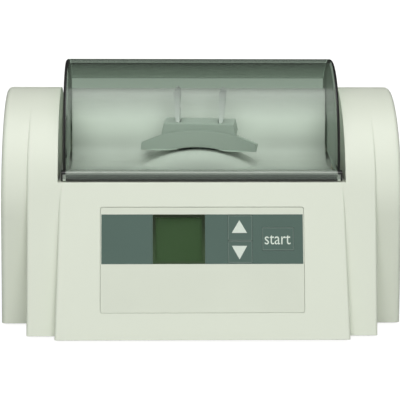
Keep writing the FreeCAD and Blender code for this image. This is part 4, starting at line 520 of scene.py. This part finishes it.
def key_prints():
    """Arrows and the word on the keys, printed in white."""
    for name, (base, tip) in {"key_up": ARROW_UP, "key_down": ARROW_DOWN}.items():
        outline = np.array([[ARROW_MIDDLE - ARROW_HALF, base], [ARROW_MIDDLE + ARROW_HALF, base],
                            [ARROW_MIDDLE, tip]])
        if tip < base:
            outline = outline[::-1]
        points, faces = prism(outline, KEY_FACE, KEY_FACE + PRINT)
        add_piece(name + "_arrow", name, on_face(points), faces, INK)
    words = bpy.data.curves.new("start_word", "FONT")
    words.body = "start"
    words.extrude = 0.5
    holder = bpy.data.objects.new("start_word", words)
    bpy.context.scene.collection.objects.link(holder)
    bpy.context.view_layer.update()
    mesh = bpy.data.meshes.new_from_object(holder.evaluated_get(bpy.context.evaluated_depsgraph_get()))
    bpy.data.objects.remove(holder)
    flat = np.array([vertex.co for vertex in mesh.vertices])
    low, high = flat.min(0), flat.max(0)
    share = (flat - low) / (high - low)
    size = np.array([START_WIDTH, START_HEIGHT, PRINT])
    points = on_face(share * size + np.array([START_LEFT, START_LOW, KEY_FACE]))
    faces = [list(polygon.vertices) for polygon in mesh.polygons]
    add_piece("key_start_word", "key_start", points, faces, INK)


def raised_frame(x0, x1, low, high, wide, proud, foot, corner):
    """Low frame with rounded upper edges: six rings round a rounded rectangle, closed on themselves."""
    outer = rounded_rectangle(x0, x1, low, high, corner)
    inner = rounded_rectangle(x0 + wide, x1 - wide, low + wide, high - wide, corner / 2)
    section = [(outer, 0.0), (outer, proud * 0.6), ((outer * 3 + inner) / 4, proud),
               ((outer + inner * 3) / 4, proud), (inner, proud * 0.6), (inner, 0.0)]
    rings = [np.column_stack([ring, np.full(len(ring), foot + out)]) for ring, out in section]
    return on_face(np.vstack(rings)), loop_faces(len(rings), len(outer), True)


def key_rims():
    """Raised line round each key cap."""
    for name, millimetres in KEY_RIMS.items():
        x0, x1, low, high = (value * MM for value in millimetres)
        points, faces = raised_frame(x0, x1, low, high, RIM_WIDE, RIM_PROUD, KEY_FACE, 0.7 * MM)
        add_piece(name + "_rim", name, points, faces, RIM)


def window_shade_ring():
    # A dark ring round the display: painted shade of its recess.
    points, faces = raised_frame(*WINDOW, WINDOW_SHADE_WIDE, RIM_PROUD, WINDOW_FACE, 0.3 * MM)
    add_piece("window_shade_ring", "casing", points, faces, WINDOW_SHADE)


def bead(name, x, z, thick):
    """Round bead laid on the saddle's front, thinning to a point at both ends.

    Its middle line is (x, front, z). Across it, a circle of ten points grows and shrinks as the
    root of a half sine along the line. The whole then turns by the drive's skew about its centre.
    """
    along = np.linspace(0, 1, len(x))
    radius = thick * np.sqrt(np.sin(math.pi * along.clip(0.004, 0.996)))
    slope = np.gradient(z, x)
    turn = np.linspace(0, 2 * math.pi, 10, endpoint=False)
    up = radius[:, None] * np.sin(turn)[None, :]
    lean = np.sqrt(1 + slope ** 2)[:, None]
    px = x[:, None] - up * slope[:, None] / lean
    py = SADDLE_FRONT + radius[:, None] * np.cos(turn)[None, :]
    pz = z[:, None] + up / lean
    cos_s, sin_s = math.cos(DRIVE_SKEW), math.sin(DRIVE_SKEW)
    points = np.stack([px * cos_s + py * sin_s, py * cos_s - px * sin_s, pz], 2).reshape(-1, 3) + DRIVE
    ends = [list(range(10))[::-1], list(range(10 * len(x) - 10, 10 * len(x)))]
    add_piece(name, "mixing_arm", points * MM, loop_faces(len(x), 10, False) + ends, BEAD_HIGHLIGHT)


def saddle_beads():
    """Lip where each wing turns into the hollow, paler than the saddle: a painted highlight. A smooth maximum
    of circle and flat edge.
    """
    inner, outer = LIP_ENDS
    x = np.linspace(-outer, -inner, 40)
    hollow = np.sqrt(LIP_UNDER ** 2 - x ** 2 - SADDLE_FRONT ** 2)
    blend = 0.5 * (hollow + LIP_FLAT + np.sqrt((hollow - LIP_FLAT) ** 2 + 0.25))
    bead("saddle_lip_left", x, blend, LIP_THICK)
    bead("saddle_lip_right", -x[::-1], blend[::-1], LIP_THICK)


# Studio
def floor():
    """Pale bench top that runs past the view, glowing for the eye; where seen through the hood it glows dimmer
    and greener, a painted shade of the hood.
    """
    paint = Paint("bench_top")
    cloud = paint.noise(1.5, 2.0)
    tone = paint.mix(cloud, (0.3, 0.31, 0.3, 1.0), (0.34, 0.35, 0.34, 1.0))
    seen = paint.node("ShaderNodeLightPath", output="Is Camera Ray")
    # Painted shade: the floor glows dimmer and greener where it is seen through the hood.
    covered = paint.node("ShaderNodeLightPath", output="Transparent Depth").above(0.5)
    shown = paint.mix(covered, (0.94, 0.94, 0.93, 1.0), (0.4, 0.5, 0.41, 1.0))
    glow = paint.mix(seen, (0.03, 0.03, 0.03, 1.0), shown)
    shader = paint.principled(Base_Color=tone, Roughness=0.8, Emission_Color=glow, Emission_Strength=1.0)
    reach = 6.0
    corners = [(-reach, -reach, 0), (reach, -reach, 0), (reach, reach, 0), (-reach, reach, 0)]
    mesh = bpy.data.meshes.new("bench_top")
    mesh.from_pydata(corners, [], [(0, 1, 2, 3)])
    mesh.materials.append(paint.show(shader))
    bench = bpy.data.objects.new("bench_top", mesh)
    bpy.context.scene.collection.objects.link(bench)


def softbox(name, azimuth, elevation, distance, width, height, power, mirrored=True):
    """Rectangular lamp aimed at the machine; azimuth 0 is in front and 90 to the right."""
    lamp = bpy.data.lights.new(name, "AREA")
    lamp.shape = "RECTANGLE"
    lamp.size = width
    lamp.size_y = height
    lamp.energy = power
    made = bpy.data.objects.new(name, lamp)
    made.visible_glossy = mirrored
    bpy.context.scene.collection.objects.link(made)
    turn, lift = math.radians(azimuth), math.radians(elevation)
    away = np.array([math.sin(turn) * math.cos(lift), -math.cos(turn) * math.cos(lift), math.sin(lift)])
    side = np.array([math.cos(turn), math.sin(turn), 0.0])
    over = np.cross(away, side)
    place = TARGET + away * distance
    made.matrix_world = Matrix(np.vstack([np.column_stack([side, over, away, place]), [0, 0, 0, 1]]).tolist())


def studio():
    scene = bpy.context.scene
    scene.view_settings.view_transform = "Standard"
    scene.view_settings.look = "None"
    world = bpy.data.worlds.new("studio")
    world.use_nodes = True
    background = world.node_tree.nodes["Background"]
    background.inputs["Color"].default_value = (1.0, 1.0, 0.99, 1.0)
    background.inputs["Strength"].default_value = 0.05
    scene.world = world
    softbox("top_softbox", 0, 75, 1.3, 2.0, 1.1, 13.5)
    softbox("front_softbox", 0, 20, 2.2, 2.0, 1.4, 25.0, mirrored=False)
    softbox("rear_softbox", 180, 16, 2.2, 2.0, 1.0, 14.0, mirrored=False)
    floor()


def camera():
    """The photograph's view: a long lens, a little above the machine and a little to its left."""
    cos_e, sin_e = math.cos(ELEVATION), math.sin(ELEVATION)
    ahead = np.array([math.sin(YAW) * cos_e, math.cos(YAW) * cos_e, -sin_e])
    level = np.array([math.cos(YAW), -math.sin(YAW), 0.0])
    upright = np.cross(level, ahead)
    right = math.cos(ROLL) * level + math.sin(ROLL) * upright
    up = math.cos(ROLL) * upright - math.sin(ROLL) * level
    lens = bpy.data.cameras.new("camera")
    lens.sensor_width = SENSOR
    lens.lens = FOCAL_PIXELS / FRAME_PIXELS * SENSOR
    lens.shift_x = 0.5 - CENTRE_X / FRAME_PIXELS
    lens.shift_y = CENTRE_Y / FRAME_PIXELS - 0.5
    made = bpy.data.objects.new("camera", lens)
    bpy.context.scene.collection.objects.link(made)
    place = TARGET - ahead * DISTANCE
    made.matrix_world = Matrix(np.vstack([np.column_stack([right, up, -ahead, place]), [0, 0, 0, 1]]).tolist())
    bpy.context.scene.camera = made


camera()
studio()
dress_frame()
key_prints()
key_rims()
window_shade_ring()
saddle_beads()
